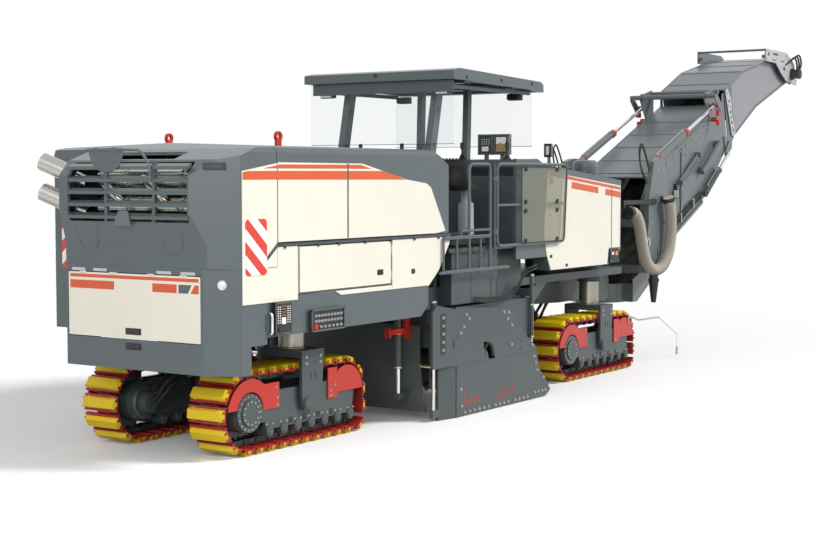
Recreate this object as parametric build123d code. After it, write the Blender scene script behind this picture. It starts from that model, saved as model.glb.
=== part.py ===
# Cold planer milling machine on four crawler units, with a slewing, lifting and folding discharge conveyor.
# Millimetres. +X runs forward to the conveyor's tip, +Y to the left, +Z up, with the ground at Z = 0.
# Inside this file X = 0 lies over the milling drum's axis; the finished pieces are moved at the end so that
# the origin is the centre of the whole machine's box, on the ground.
from build123d import *
import math
import os

# ---------------------------------------------------------------- driving sizes
half_width = 1250            # side faces of the body
rear_face_x = -4550          # rear wall and its door
sheet = 30                   # wall of hoods, doors and skirts, with their stiffening
seat_gap = 0.3               # between pieces that rest on each other across a joint
run_gap = 0.6                # around a tube that slides or turns in its guide
swing_gap = 8                # around a panel that swings

# crawler units
rear_axle_x = -2950
front_axle_x = 3220
rear_track_y = 660
front_track_y = 710
track_width = 425
chain_width = 190
sprocket_back = 890          # from the column back to the sprocket
sprocket_height = 400
sprocket_reach = 400         # sprocket centre to the pads' outer face
idler_front = 600
idler_height = 430
idler_reach = 350
toe_front = 780
toe_reach = 170
pad_height = 52
shoe_height = 26
chain_height = 62
shoe_pitch = 172
pad_length = 136
column_radius = 124
column_length = 900
guide_wall = 36
guide_bottom = 1215
yoke_top = 905               # top of the bridge that the column stands on
bridge_height = 70
cheek_thickness = 34
cheek_length = 350
cheek_gap = 14               # cheek to the pads' ends
hub_radius = 178
cover_radius = 122
roller_radius = 66
roller_count = 7
guard_thickness = 14

# frame and deck
deck_bottom = 1290
deck_thickness = 90
frame_rear_x = rear_face_x + 430
frame_front_x = 3560
rail_y = 1010                # outer face of the frame's side rails
rail_thickness = 60
rail_depth = 230

# milling drum and its housing
cutting_radius = 505
drum_axis_height = 620
drum_half_width = 1085
drum_shaft_radius = 140
pick_rows = 26
picks_in_row = 5
pick_length = 92
housing_wall = 30
housing_half_width = 1150
housing_rear_x = -1180
housing_front_x = 900
housing_top = 1160

# receiving trough
belly_end_x = 4340
belly_half_width = 440
belly_wall = 20

# hood, rear module and lower sides
hood_rear_x = rear_face_x + 650
hood_front_x = -970
hood_bottom = 1966
hood_edge_height = 2825
hood_crown_height = 2865
hood_shoulder_x = -1410
hood_shoulder_height = 2660
seam_height = 1950           # between the lower panels and what is above
cream_bottom = 1440
louver_face_x = rear_face_x - 80
corner_y = 945               # where the rear corner's bevel starts
corner_x = rear_face_x + 150  # where the bevel meets the side
module_left_y = 720
recess_x = rear_face_x + 370  # rear face of the left recess
door_bottom = 1090
door_top = 1690
apron_bottom = 820
panel_sheet = 8              # cream sheet that covers a side
knuckle_out = 4              # hinge knuckles' axis outside the wall's face, on the swinging edge
knuckle_radius = math.hypot(swing_gap, knuckle_out) - seat_gap
knuckle_length = 80
hood_hinge_x = -945
hood_hinge_height = 2010
hood_hinge_y = 900
hood_hinge_pin = 14
hood_hinge_eye = 24
hood_hinge_width = 48

# louver opening and tail pipes at the rear
louver_left_y = 610
louver_right_y = -840
louver_low = 2150
louver_high = 2680
tail_pipe_radius = 85
tail_pipes = [               # as (inner end, tip)
    ((recess_x - 240, module_left_y - 180, 2500), (recess_x - 380, 1000, 2690)),
    ((recess_x - 240, module_left_y - 180, 2220), (recess_x - 380, 1000, 2410)),
]
canister_x = louver_face_x + 300

# lower sides and service doors
door_front_x = -2092         # right and left service door, along the machine
door_rear_x = hood_rear_x + 296
side_door_low = 1485
side_door_high = 1925
skirt_top = hood_bottom - swing_gap
wall_face = -half_width + panel_sheet

# lifting eyes
eye_x = hood_rear_x + 720
eye_y = 690
eye_height = 2930
eye_thickness = 30
eye_bore = 26

# platform and canopy
platform_height = 1790
platform_rear_x = -960
platform_front_x = 1180
roof_rear_x = -560
roof_front_x = 1430
roof_half_width = 1008
roof_height = 3720
roof_depth = 120
roof_lip = 40
roof_fall = 60               # of the roof's underside, from back to front
screen_bottom = 2905
post_x = -400
post_y = 590
screen_thickness = 6

# ladders and gates
rail_radius = 17
gate_plane = half_width + 20
gate_rear_x = -85
gate_front_x = 1528
gate_low = 1793
gate_high = 2689
gate_mid = 2238
gate_post_x = gate_rear_x - 60

# front body
front_body_half = half_width - 30
front_body_rear_x = 1150
front_body_front_x = 3190
front_body_bottom = 1455

# conveyor
slew_x = 4900
slew_bottom = 1210
slew_top = 1960
slew_pin_radius = 75
slew_plate = 110             # thickness of the yoke's two plates
slew_bearing = 100           # height of each bearing on the frame's nose
slew_bearing_gap = 10        # yoke plate to bearing
nose_half_width = 150
arm_y = 690                  # centre of the yoke's arms
arm_thickness = 80
luff_x = 5330
luff_height = 1500
trunnion_radius = 60
boom_half_width = 520
boom_sheet = 12
tip_half_width = 595
hopper_radius = 400
hopper_bottom = 800
hopper_top = 1060
fold_x = 8380
fold_height = 3060
fold_pin_radius = 28
fold_lug = 14                # thickness of the lower boom's lug, 1 mm outside the upper boom's sheet
fold_arm = 18                # thickness of the upper boom's arm outside that lug
belt_half_width = 420
belt_drum_radius = 110
belt_thickness = 14
belt_shaft_radius = 30
lower_tail = (5150, 1080)    # belt drums, as (along, height)
lower_head = (8040, 3330)
upper_tail = (8580, 3560)
upper_head = (10960, 4290)
cylinder_pin_radius = 24
lift_base_x = 5430
lift_base_height = 2750
lift_eye_x = 7610
lift_eye_height = 3630
lift_gland = 0.515           # share of the way from base to eye where the rod leaves the barrel
lift_rod_start = 0.33        # share where the rod starts inside the barrel at rest
lift_barrel_radius = 48
lift_rod_radius = 26
lift_eye_radius = 46
lift_across = 590
lower_bottom = [(7315, 2142), (6373, 1717), (5900, 1350), (5554, 1063), (5080, hopper_bottom)]
fold_base_x = 7330
fold_base_height = lower_bottom[0][1] + 148
fold_eye_x = 8215
fold_eye_height = 2900
fold_gland = 0.6
fold_rod_start = 0.15
fold_barrel_radius = 44
fold_rod_radius = 24
fold_eye_radius = 40
fold_across = 580
lower_top = [(5420, 2545), (5768, 2688), (7533, 3429), (8080, 3660)]
upper_top = [(8160, 3905), (8927, 4238), (9833, 4439), (10750, 4560)]
hose_radius = 80
hose_y = -830
collar_wall = 8
hose_route = [               # as (along, height), a loop that hangs beside the yoke's right arm
    (4110, 2060), (4330, 2066), (4480, 1900), (4560, 1640), (4680, 1370), (4950, 1240), (5230, 1280),
    (5450, 1480), (5530, 1780), (5500, 2060), (5410, 2260),
]

# side plates and scraper
plate_thickness = 35
bracket_thickness = 30
plate_cylinder_x = -1235
plate_cylinder_y = 1182
plate_rod_radius = 18
plate_barrel_radius = 30
strut_x = 860
strut_y = 1180
strut_rod_radius = 12
strut_barrel_radius = 22
scraper_half_width = 1080
scraper_thickness = 30
scraper_bottom = 95
scraper_top = 1010
scraper_cylinder_x = -1440
scraper_cylinder_y = 880
scraper_rod_radius = 22
scraper_barrel_radius = 38


# ---------------------------------------------------------------- shapes
def block(x0, x1, y0, y1, z0, z1):
    # box between two corners
    return Pos((x0 + x1) / 2, (y0 + y1) / 2, (z0 + z1) / 2) * Box(x1 - x0, y1 - y0, z1 - z0)


def side_cut(points, y0, y1):
    # outline in X and Z, with its thickness along Y
    plane = Plane(origin=(0, y1, 0), x_dir=(1, 0, 0), z_dir=(0, -1, 0))
    return extrude(plane * make_face(Polyline(*points, close=True)), amount=y1 - y0)


def cross_cut(points, x0, x1):
    # outline in Y and Z, with its thickness along X
    plane = Plane(origin=(x0, 0, 0), x_dir=(0, 1, 0), z_dir=(1, 0, 0))
    return extrude(plane * make_face(Polyline(*points, close=True)), amount=x1 - x0)


def plan_cut(points, z0, z1):
    # outline in X and Y, with its thickness along Z
    return extrude(Pos(0, 0, z0) * make_face(Polyline(*points, close=True)), amount=z1 - z0)


def rod(start, end, radius):
    # round bar between two points
    a = Vector(*start)
    b = Vector(*end)
    return Solid.make_cylinder(radius, (b - a).length, Plane(origin=a, z_dir=b - a))


def tube_path(points, radius, corner):
    # round tube along a path with rounded corners
    path = FilletPolyline(*points, radius=corner)
    start = Plane(origin=path @ 0, z_dir=path % 0)
    return sweep(start * Circle(radius), path=path)


def largest(shape):
    # the biggest solid of a shape, without the scraps that a cut leaves
    return max(shape.solids(), key=lambda solid: solid.volume)


def mirrored(shape):
    # the same piece on the other side of the machine
    return mirror(shape, about=Plane.XZ)


def fuse(pieces):
    # one shape from several
    first = pieces[0]
    return first.fuse(*pieces[1:]).clean() if len(pieces) > 1 else first


def group(pieces):
    # several separate solids that share a node
    return Compound(children=[solid for piece in pieces for solid in piece.solids()])


def between(start, end, share):
    # point part of the way from one point to another
    return tuple(a + (b - a) * share for a, b in zip(start, end))


nodes = {}


# ---------------------------------------------------------------- crawler units
# wheels of one track, as (along, height, reach), in the order in which the pads pass round them
track_wheels = [
    (-sprocket_back, sprocket_height, sprocket_reach),
    (toe_front, toe_reach, toe_reach),
    (idler_front, idler_height, idler_reach),
]


def track_runs(depth):
    # straight and round stretches of the loop that lies this deep inside the pads' outer face
    count = len(track_wheels)
    normals = []
    for i in range(count):
        u0, v0, r0 = track_wheels[i]
        u1, v1, r1 = track_wheels[(i + 1) % count]
        span = math.hypot(u1 - u0, v1 - v0)
        heading = math.atan2(v1 - v0, u1 - u0)
        normals.append(heading - math.acos((r0 - r1) / span))
    runs = []
    for i in range(count):
        u0, v0, r0 = track_wheels[i]
        u1, v1, r1 = track_wheels[(i + 1) % count]
        n = normals[i]
        start = (u0 + (r0 - depth) * math.cos(n), v0 + (r0 - depth) * math.sin(n))
        end = (u1 + (r1 - depth) * math.cos(n), v1 + (r1 - depth) * math.sin(n))
        turn = (normals[(i + 1) % count] - n) % (2 * math.pi)
        runs.append(("line", start, end, n, math.dist(start, end)))
        runs.append(("arc", (u1, v1), r1 - depth, n, turn * (r1 - depth), turn))
    return runs


def track_point(runs, distance):
    # point on the loop and the direction that faces outwards there
    distance %= sum(run[4] for run in runs)
    for run in runs:
        if distance <= run[4]:
            break
        distance -= run[4]
    if run[0] == "line":
        share = distance / run[4]
        place = (run[1][0] + (run[2][0] - run[1][0]) * share, run[1][1] + (run[2][1] - run[1][1]) * share)
        return place, run[3]
    angle = run[3] + distance / run[2]
    return (run[1][0] + run[2] * math.cos(angle), run[1][1] + run[2] * math.sin(angle)), angle


def loop_face(depth):
    # smooth face inside the loop at this depth
    edges = []
    for run in track_runs(depth):
        if run[0] == "line":
            edges.append(Line(run[1], run[2]))
        else:
            edges.append(CenterArc(run[1], run[2], math.degrees(run[3]), math.degrees(run[5])))
    return make_face(edges)


def shoe_outline():
    # outer face of the loop: a shoe with its bevelled pad at every pitch
    runs = track_runs(pad_height + shoe_height)
    length = sum(run[4] for run in runs)
    count = round(length / shoe_pitch)
    pitch = length / count
    shoe_half = pitch / 2 - 7
    pad_half = pad_length / 2
    corners = [
        (-pitch / 2, 6),
        (-shoe_half, shoe_height),
        (-pad_half, shoe_height),
        (-pad_half + 16, shoe_height + pad_height),
        (pad_half - 16, shoe_height + pad_height),
        (pad_half, shoe_height),
        (shoe_half, shoe_height),
    ]
    points = []
    for i in range(count):
        (u, v), angle = track_point(runs, i * pitch)
        for along, out in corners:
            if along == -pitch / 2:
                (u0, v0), a0 = track_point(runs, (i - 0.5) * pitch)
                points.append((u0 + out * math.cos(a0), v0 + out * math.sin(a0)))
            else:
                points.append((u + out * math.cos(angle) - along * math.sin(angle),
                               v + out * math.sin(angle) + along * math.cos(angle)))
    return points


def lift_to_side(face, y0, y1):
    # thickness along Y for a face drawn in X and Z
    plane = Plane(origin=(0, y1, 0), x_dir=(1, 0, 0), z_dir=(0, -1, 0))
    return extrude(plane * face, amount=y1 - y0)


def track_loop():
    # pads and shoes across the full width, and the narrower chain inside them
    half = track_width / 2
    belt = lift_to_side(make_face(Polyline(*shoe_outline(), close=True)), -half, half)
    belt -= lift_to_side(loop_face(pad_height + shoe_height), -half - 1, half + 1)
    chain = lift_to_side(loop_face(pad_height + shoe_height - 4), -chain_width / 2, chain_width / 2)
    hollow = lift_to_side(loop_face(pad_height + shoe_height + chain_height), -half, half)
    return fuse([belt, chain - hollow])


def track_frame():
    # side plates with roller brackets, rollers, final drive and idler, seen from the machine's side
    half = track_width / 2 - 6
    side_top = 505
    outline = [(-sprocket_back + hub_radius + 60, 215), (-sprocket_back + hub_radius + 20, 470),
               (-sprocket_back + hub_radius + 110, side_top + 60), (idler_front - 60, side_top + 60),
               (idler_front + 90, 470), (idler_front + 120, 350), (toe_front - 90, 215)]
    pieces = []
    for y0 in (-half, half - 40):
        pieces.append(side_cut(outline, y0, y0 + 40))
    core = [(-430, 215), (-430, 470), (430, 470), (430, 215)]
    pieces.append(side_cut(core, -half + 20, half - 20))
    roller_height = pad_height + shoe_height + chain_height + roller_radius - 6
    first = -sprocket_back + hub_radius + 110
    step = (toe_front - 110 - first) / (roller_count - 1)
    for i in range(roller_count):
        x = first + i * step
        pieces.append(rod((x, -half + 12, roller_height), (x, half - 12, roller_height), roller_radius - 8))
        for y0 in (-half, half - 40):
            pieces.append(block(x - 34, x + 34, y0, y0 + 40, roller_height - 20, 240))
    hub = (-sprocket_back, 0, sprocket_height)
    ring_radius = sprocket_reach - pad_height - shoe_height - chain_height - 1
    pieces.append(rod((hub[0], -half + 30, hub[2]), (hub[0], half - 30, hub[2]), ring_radius * 0.72))
    pieces.append(rod((hub[0], -half - 10, hub[2]), (hub[0], half - 4, hub[2]), hub_radius))
    pieces.append(rod((hub[0], -half - 26, hub[2]), (hub[0], -half, hub[2]), cover_radius))
    pieces.append(block(hub[0], hub[0] + hub_radius + 80, -half, half, hub[2] - 110, hub[2] + 110))
    idler = idler_reach - pad_height - shoe_height - chain_height - 1
    pieces.append(rod((idler_front, -half + 50, idler_height), (idler_front, half - 50, idler_height), idler))
    return fuse(pieces)


def yoke():
    # bridge over the track, with a cheek down each side to the swivel axle
    half = track_width / 2 + cheek_gap
    outer = half + cheek_thickness
    top = yoke_top
    under = yoke_top - bridge_height
    bridge = block(-cheek_length / 2, cheek_length / 2, -outer, outer, under, top)
    cheek = [(-cheek_length / 2, top), (cheek_length / 2, top), (cheek_length / 2 - 40, 470),
             (cheek_length / 2 - 130, 330), (-cheek_length / 2 + 40, 330), (-cheek_length / 2, 480)]
    pieces = [bridge]
    for y0 in (-outer, half):
        pieces.append(side_cut(cheek, y0, y0 + cheek_thickness))
    pieces.append(rod((-cheek_length / 2 + 90, -outer, 400), (-cheek_length / 2 + 90, outer, 400), 55))
    return fuse(pieces)


def guards():
    # red plates under the pads' ends, over the sprocket and over the idler
    reach = sprocket_reach - pad_height - shoe_height - 8
    rear = Pos(-sprocket_back, sprocket_height) * Circle(reach)
    rear -= Pos(-sprocket_back, sprocket_height) * Circle(hub_radius + 14)
    rear &= Pos(-sprocket_back - 60, sprocket_height + 300) * Rectangle(2 * reach, 2 * 300 - 90)
    arm = Pos(-sprocket_back + 300, sprocket_height + 125) * Rectangle(240, 240)
    front_reach = idler_reach - pad_height - shoe_height - 8
    front = Pos(idler_front, idler_height) * Circle(front_reach)
    front &= Pos(idler_front + 60, idler_height + 140) * Rectangle(2 * front_reach, 260)
    foot = Pos(idler_front - 235, idler_height + 110) * Rectangle(150, 300)
    outer = -track_width / 2 + 6
    rear_plate = lift_to_side(rear + arm, outer - guard_thickness, outer)
    front_plate = lift_to_side(front + foot, outer - guard_thickness, outer)
    return group([rear_plate, front_plate])


# crawler units, as (name, column along, column across)
crawlers = [
    ("rear_right", rear_axle_x, -rear_track_y),
    ("rear_left", rear_axle_x, rear_track_y),
    ("front_right", front_axle_x, -front_track_y),
    ("front_left", front_axle_x, front_track_y),
]

loop = track_loop()
carrier = track_frame()
bridge_piece = yoke()
guard_pair = guards()
column = rod((0, 0, yoke_top - 1), (0, 0, yoke_top + column_length), column_radius)
for name, x, y in crawlers:
    side = 1 if y < 0 else -1
    place = Pos(x, y, 0)
    nodes["track_" + name] = place * loop
    outward = [carrier, bridge_piece, guard_pair]
    if side < 0:
        outward = [mirrored(piece) for piece in outward]
    nodes["track_frame_" + name] = place * outward[0].fuse(outward[1], column)
    nodes["track_guards_" + name] = place * outward[2]


# ---------------------------------------------------------------- frame
def chassis():
    # deck with side rails, cross walls and the four column guides, joined into one weldment
    top = deck_bottom + deck_thickness
    pieces = [block(frame_rear_x, frame_front_x, -rail_y, rail_y, deck_bottom, top)]
    for y0 in (-rail_y, rail_y - rail_thickness):
        pieces.append(block(frame_rear_x, housing_rear_x - 400, y0, y0 + rail_thickness, top - rail_depth, top))
        beam = [(1000, 1050), (1180, 1050), (1560, 1310), (front_axle_x + 250, 1310),
                (front_axle_x + 250, top), (1480, top), (1000, 1160)]
        pieces.append(side_cut(beam, y0, y0 + rail_thickness))
    for x, y in ((rear_axle_x, rear_track_y), (front_axle_x, front_track_y)):
        for side in (-1, 1):
            guide = rod((x, side * y, guide_bottom), (x, side * y, 1890), column_radius + guide_wall)
            pieces.append(guide)
    low = slew_bottom + slew_plate + slew_bearing_gap
    high = slew_top - slew_plate - slew_bearing_gap
    nose_end = slew_x - nose_half_width - 80
    nose = [(frame_front_x - 500, 1240), (frame_front_x + 60, 1240), (nose_end, low), (nose_end, high),
            (frame_front_x, 1880), (frame_front_x - 500, 1880)]
    pieces.append(side_cut(nose, -nose_half_width, nose_half_width))
    for z0 in (low, high - slew_bearing):
        pieces.append(block(nose_end - 10, slew_x, -nose_half_width, nose_half_width, z0, z0 + slew_bearing))
        pieces.append(rod((slew_x, 0, z0), (slew_x, 0, z0 + slew_bearing), nose_half_width))
    body = fuse(pieces)
    for x, y in ((rear_axle_x, rear_track_y), (front_axle_x, front_track_y)):
        for side in (-1, 1):
            bore = rod((x, side * y, 1100), (x, side * y, 1850), column_radius + run_gap)
            body -= bore
    body -= rod((slew_x, 0, slew_bottom), (slew_x, 0, slew_top), slew_pin_radius + 0.05)
    return body


nodes["chassis_frame"] = chassis()
nodes["engine_block"] = block(hood_rear_x + 340, -1700, -480, 480, deck_bottom + deck_thickness, 2420)


# ---------------------------------------------------------------- milling drum, housing, side plates, scraper
def milling_drum():
    # hollow-faced drum with helical rows of picks
    core = cutting_radius - pick_length
    body = rod((0, -drum_half_width, drum_axis_height), (0, drum_half_width, drum_axis_height), core)
    for side in (-1, 1):
        recess = rod((0, side * (drum_half_width - 180), drum_axis_height),
                     (0, side * (drum_half_width + 1), drum_axis_height), core - 60)
        body -= recess
    shaft = rod((0, -housing_half_width + 2, drum_axis_height),
                (0, housing_half_width - 2, drum_axis_height), drum_shaft_radius)
    body = body.fuse(shaft)
    picks = []
    pitch = 2 * (drum_half_width - 40) / (pick_rows - 1)
    for row in range(pick_rows):
        y = -drum_half_width + 40 + row * pitch
        for i in range(picks_in_row):
            lean = abs(row - (pick_rows - 1) / 2) * 11
            angle = i * 360 / picks_in_row + lean
            pick = Cone(24, 5, pick_length + 18, align=(Align.CENTER, Align.CENTER, Align.MIN))
            holder = Pos(0, 0, 8) * Box(62, 46, 70)
            tool = Pos(0, y, drum_axis_height) * Rot(0, angle, 0) * Pos(0, 0, core - 18) * (pick + holder)
            picks.append(tool)
    return body.fuse(*picks)


def drum_housing():
    # box over the drum, open below, with a side wall at each end
    inner = block(housing_rear_x + housing_wall, housing_front_x - housing_wall, -housing_half_width + housing_wall,
                  housing_half_width - housing_wall, 0, housing_top - housing_wall)
    shell = block(housing_rear_x, housing_front_x, -housing_half_width, housing_half_width, 330, housing_top) - inner
    mouth = block(housing_front_x - 200, housing_front_x + 1, -belly_half_width, belly_half_width, 0, 980)
    rear = block(housing_rear_x - 1, housing_rear_x + 200, -housing_half_width + 60, housing_half_width - 60, 0, 760)
    shell = shell - mouth - rear
    for side in (-1, 1):
        y = side * (housing_half_width - housing_wall / 2)
        bore = rod((0, y - 60, drum_axis_height), (0, y + 60, drum_axis_height), drum_shaft_radius + 0.05)
        boss = rod((0, side * (housing_half_width - housing_wall), drum_axis_height),
                   (0, side * housing_half_width, drum_axis_height), 220)
        shell = shell.fuse(boss) - bore
    saddle = block(housing_rear_x + 60, housing_front_x - 60, -rail_y, rail_y, housing_top, deck_bottom)
    saddle -= block(housing_rear_x + 160, housing_front_x - 160, -rail_y + 80, rail_y - 80,
                    housing_top - 1, deck_bottom + 1)
    return shell.fuse(saddle)


nodes["milling_drum"] = milling_drum()
nodes["drum_housing"] = drum_housing()


def side_plate():
    # right-hand plate beside the drum, with its rear return and lift bracket
    inner = -half_width + plate_thickness
    outline = [(-900, 6), (1060, 6), (1185, 66), (1085, 190), (1028, 248), (965, 300), (904, 365), (875, 480),
               (841, 608), (631, 729), (600, 790), (454, 846), (400, 960), (279, 1075), (-251, 1127),
               (-830, 1169), (-900, 1175)]
    window = [(-215, 560), (-85, 560), (-120, 680), (-205, 750), (-330, 760), (-330, 690), (-255, 650)]
    plate = side_cut(outline, -half_width, inner) - side_cut(window, -half_width - 1, inner + 1)
    tail = plan_cut([(-905, -half_width), (-905, inner), (-1130, -1168), (-1165, -1168), (-1165, -1198)], 6, 600)
    bracket = side_cut([(-1350, 560), (-880, 560), (-880, 1150), (-1280, 1221), (-1350, 1150)],
                       -half_width, -half_width + bracket_thickness)
    foot = block(plate_cylinder_x - 40, -1120, -plate_cylinder_y - 20, -plate_cylinder_y + 20, 40, 120)
    lug = block(strut_x - 22, strut_x + 22, inner, -strut_y + 12, 330, 390)
    rods = [
        rod((plate_cylinder_x, -plate_cylinder_y, 119), (plate_cylinder_x, -plate_cylinder_y, 880), plate_rod_radius),
        rod((strut_x, -strut_y, 389), (strut_x, -strut_y, 1040), strut_rod_radius),
    ]
    return fuse([plate, tail, bracket, foot, lug] + rods)


def lift_barrels():
    # fixed barrels of the side plates' and the scraper's cylinders, each hung from the deck or the housing
    pieces = []
    # cylinders as (along, across, rod, barrel, lower end, upper end)
    cylinders = [
        (plate_cylinder_x, plate_cylinder_y, plate_rod_radius, plate_barrel_radius, 640, 1270),
        (strut_x, strut_y, strut_rod_radius, strut_barrel_radius, 700, 1440),
        (scraper_cylinder_x, scraper_cylinder_y, scraper_rod_radius, scraper_barrel_radius, 560, deck_bottom),
    ]
    holders = []
    for side in (-1, 1):
        y0, y1 = sorted((side * (housing_half_width - 60), side * plate_cylinder_y))
        holders.append(block(plate_cylinder_x, housing_rear_x, y0, y1, 1000, 1140))
        y0, y1 = sorted((side * rail_y, side * strut_y))
        holders.append(block(strut_x - 30, strut_x + 30, y0, y1, 1180, 1260))
    for x, y, rod_radius, barrel_radius, low, high in cylinders:
        for side in (-1, 1):
            barrel = rod((x, side * y, low), (x, side * y, high), barrel_radius)
            bore = rod((x, side * y, low - 1), (x, side * y, high - 30), rod_radius + run_gap)
            held = fuse([barrel] + [holder for holder in holders if holder.distance_to(barrel) < 1])
            pieces.append(held - bore)
    return group(pieces)


def scraper():
    # curved plate across the machine behind the drum, with feet for its two rods
    outer = [(-1235, scraper_bottom), (-1310, 330), (-1350, 600), (-1350, scraper_top)]
    inner = [(x + scraper_thickness, z) for x, z in reversed(outer)]
    plate = side_cut(outer + inner, -scraper_half_width, scraper_half_width)
    pieces = [plate]
    for side in (-1, 1):
        y = side * scraper_cylinder_y
        pieces.append(block(scraper_cylinder_x - 32, -1300, y - 30, y + 30, 240, 300))
        pieces.append(rod((scraper_cylinder_x, y, 299), (scraper_cylinder_x, y, 980), scraper_rod_radius))
    return fuse(pieces)


plate_right = side_plate()
nodes["side_plate_right"] = plate_right
nodes["side_plate_left"] = mirrored(plate_right)
nodes["lift_barrels"] = lift_barrels()
nodes["scraper_blade"] = scraper()


# ---------------------------------------------------------------- hood and rear module
def crown(x0, x1, low, inset):
    # cross-section of the hoods: level sides, a rounded shoulder and a slightly crowned top
    half = half_width - inset
    edge = hood_edge_height - inset
    top = hood_crown_height - inset
    points = [(-half, low), (half, low), (half, edge - 60), (half - 22, edge - 14), (half - 70, edge),
              (0, top), (-half + 70, edge), (-half + 22, edge - 14), (-half, edge - 60)]
    return cross_cut(points, x0, x1)


def hood_form(inset):
    # the hood's outside, or its inside when inset by the sheet
    low = hood_bottom - (1 if inset else 0)
    front = hood_front_x - inset
    plan = Pos((hood_rear_x + front) / 2, 0) * RectangleRounded(front - hood_rear_x, 2 * (half_width - inset), 110)
    plan += Pos(hood_rear_x + 150, 0) * Rectangle(300 + 2 * inset, 2 * (half_width - inset))
    body = extrude(Pos(0, 0, low) * plan, amount=hood_crown_height - low)
    top = hood_crown_height - inset
    side = [(hood_rear_x - inset, low), (front, low), (front, hood_shoulder_height - 60 - inset),
            (-1030 - inset, hood_shoulder_height - inset), (hood_shoulder_x, top), (hood_rear_x - inset, top)]
    return body & side_cut(side, -half_width, half_width) & crown(hood_rear_x - inset, front, low, inset)


def rear_form(inset):
    # the rear module's outside: bevelled corners, louver zone that leans out, and the recess on the left
    low = seam_height - 200
    front = hood_rear_x - swing_gap
    plan = [(front, -half_width + inset), (corner_x + inset, -half_width + inset), (louver_face_x + inset, -860),
            (louver_face_x + inset, module_left_y - inset), (recess_x + inset, module_left_y - inset),
            (recess_x + inset, half_width - inset), (front, half_width - inset)]
    side = [(front, low), (rear_face_x + inset, low), (rear_face_x + inset, seam_height),
            (louver_face_x + inset, 2240), (louver_face_x + inset, 2560 - inset / 2),
            (rear_face_x + 50, 2700 - inset), (hood_rear_x - 300, 2800 - inset), (front, hood_crown_height - inset)]
    body = plan_cut(plan, low, hood_crown_height) & side_cut(side, -half_width, half_width)
    return body & crown(louver_face_x, front, low, inset)


def rear_module():
    # hollow module behind the hood, with its louver opening, louvers and a slot in its top
    body = rear_form(0) - rear_form(sheet) - block(hood_rear_x - 60, hood_rear_x, -1180, 1180, 1700, 2780)
    body -= block(louver_face_x - 1, louver_face_x + 200, louver_right_y, louver_left_y, louver_low, louver_high)
    body -= block(louver_face_x + 150, louver_face_x + 350, -560, 420, 2600, 2900)
    for start, end in tail_pipes:
        body -= rod(start, end, tail_pipe_radius + seat_gap)
    bars = []
    for i in range(5):
        z = louver_low + 45 + i * (louver_high - louver_low - 90) / 4
        bar = [(louver_face_x + 4, z - 22), (louver_face_x + 4, z + 8), (louver_face_x + 60, z + 34),
               (louver_face_x + 60, z + 4)]
        bars.append(side_cut(bar, louver_right_y - 5, louver_left_y + 5))
    for y in (-430, 150):
        bars.append(block(louver_face_x + 20, louver_face_x + 52, y - 16, y + 16, louver_low - 5, louver_high + 5))
    return fuse([body] + bars)


def lower_walls():
    # walls below the seam round the rear, with the opening for the rear door
    plan = [(recess_x + 130, -half_width), (corner_x, -half_width), (rear_face_x, -corner_y),
            (rear_face_x, module_left_y), (recess_x, module_left_y), (recess_x, half_width),
            (recess_x + 130, half_width)]
    outer = make_face(Polyline(*plan, close=True))
    inner = Pos(1, 0) * offset(outer, amount=-sheet, kind=Kind.INTERSECTION)
    ring = outer - inner - Pos(recess_x + 130, 0) * Rectangle(2 * sheet + 10, 2 * half_width - 2 * sheet)
    walls = extrude(Pos(0, 0, apron_bottom) * ring, amount=seam_height - 200 - seat_gap - apron_bottom)
    walls -= block(recess_x - 90, recess_x + 200, -half_width - 1, -corner_y, 0, 1070)
    walls -= block(recess_x - 1, recess_x + 200, module_left_y + 1, half_width + 1, 0, 1105)
    door = block(rear_face_x - 1, rear_face_x + sheet + 1, -corner_y + 25, module_left_y - 20, door_bottom, door_top)
    return walls - door


def engine_hood():
    # open-bottomed hood with a slot round each lifting eye and two hinge lugs on its front wall
    hood = hood_form(0) - hood_form(sheet)
    for side in (-1, 1):
        y = side * eye_y
        hood -= block(eye_x - 125, eye_x + 60, y - 30, y + 30, 2700, 2900)
    lugs = []
    for side in (-1, 1):
        y0, y1 = sorted((side * hood_hinge_y, side * (hood_hinge_y + hood_hinge_width)))
        lug = block(hood_front_x - 1, hood_hinge_x, y0, y1, hood_hinge_height - hood_hinge_eye,
                    hood_hinge_height + hood_hinge_eye)
        lug = lug.fuse(rod((hood_hinge_x, y0, hood_hinge_height), (hood_hinge_x, y1, hood_hinge_height),
                           hood_hinge_eye))
        lugs.append(lug - rod((hood_hinge_x, y0 - 1, hood_hinge_height), (hood_hinge_x, y1 + 1, hood_hinge_height),
                              hood_hinge_pin + 0.05))
    return fuse([hood] + lugs)


nodes["engine_hood"] = engine_hood()
nodes["rear_module"] = rear_module()
nodes["rear_lower_walls"] = lower_walls()
rear_door = block(rear_face_x, rear_face_x + sheet, -corner_y + 25 + swing_gap, module_left_y - 20 - swing_gap,
                  door_bottom + swing_gap, door_top - swing_gap)
rear_knuckles = [rod((rear_face_x - knuckle_out, y, door_top - swing_gap),
                     (rear_face_x - knuckle_out, y + knuckle_length, door_top - swing_gap), knuckle_radius)
                 for y in (-760, -380, 80, 460)]
nodes["rear_door"] = fuse([rear_door] + rear_knuckles)


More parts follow.
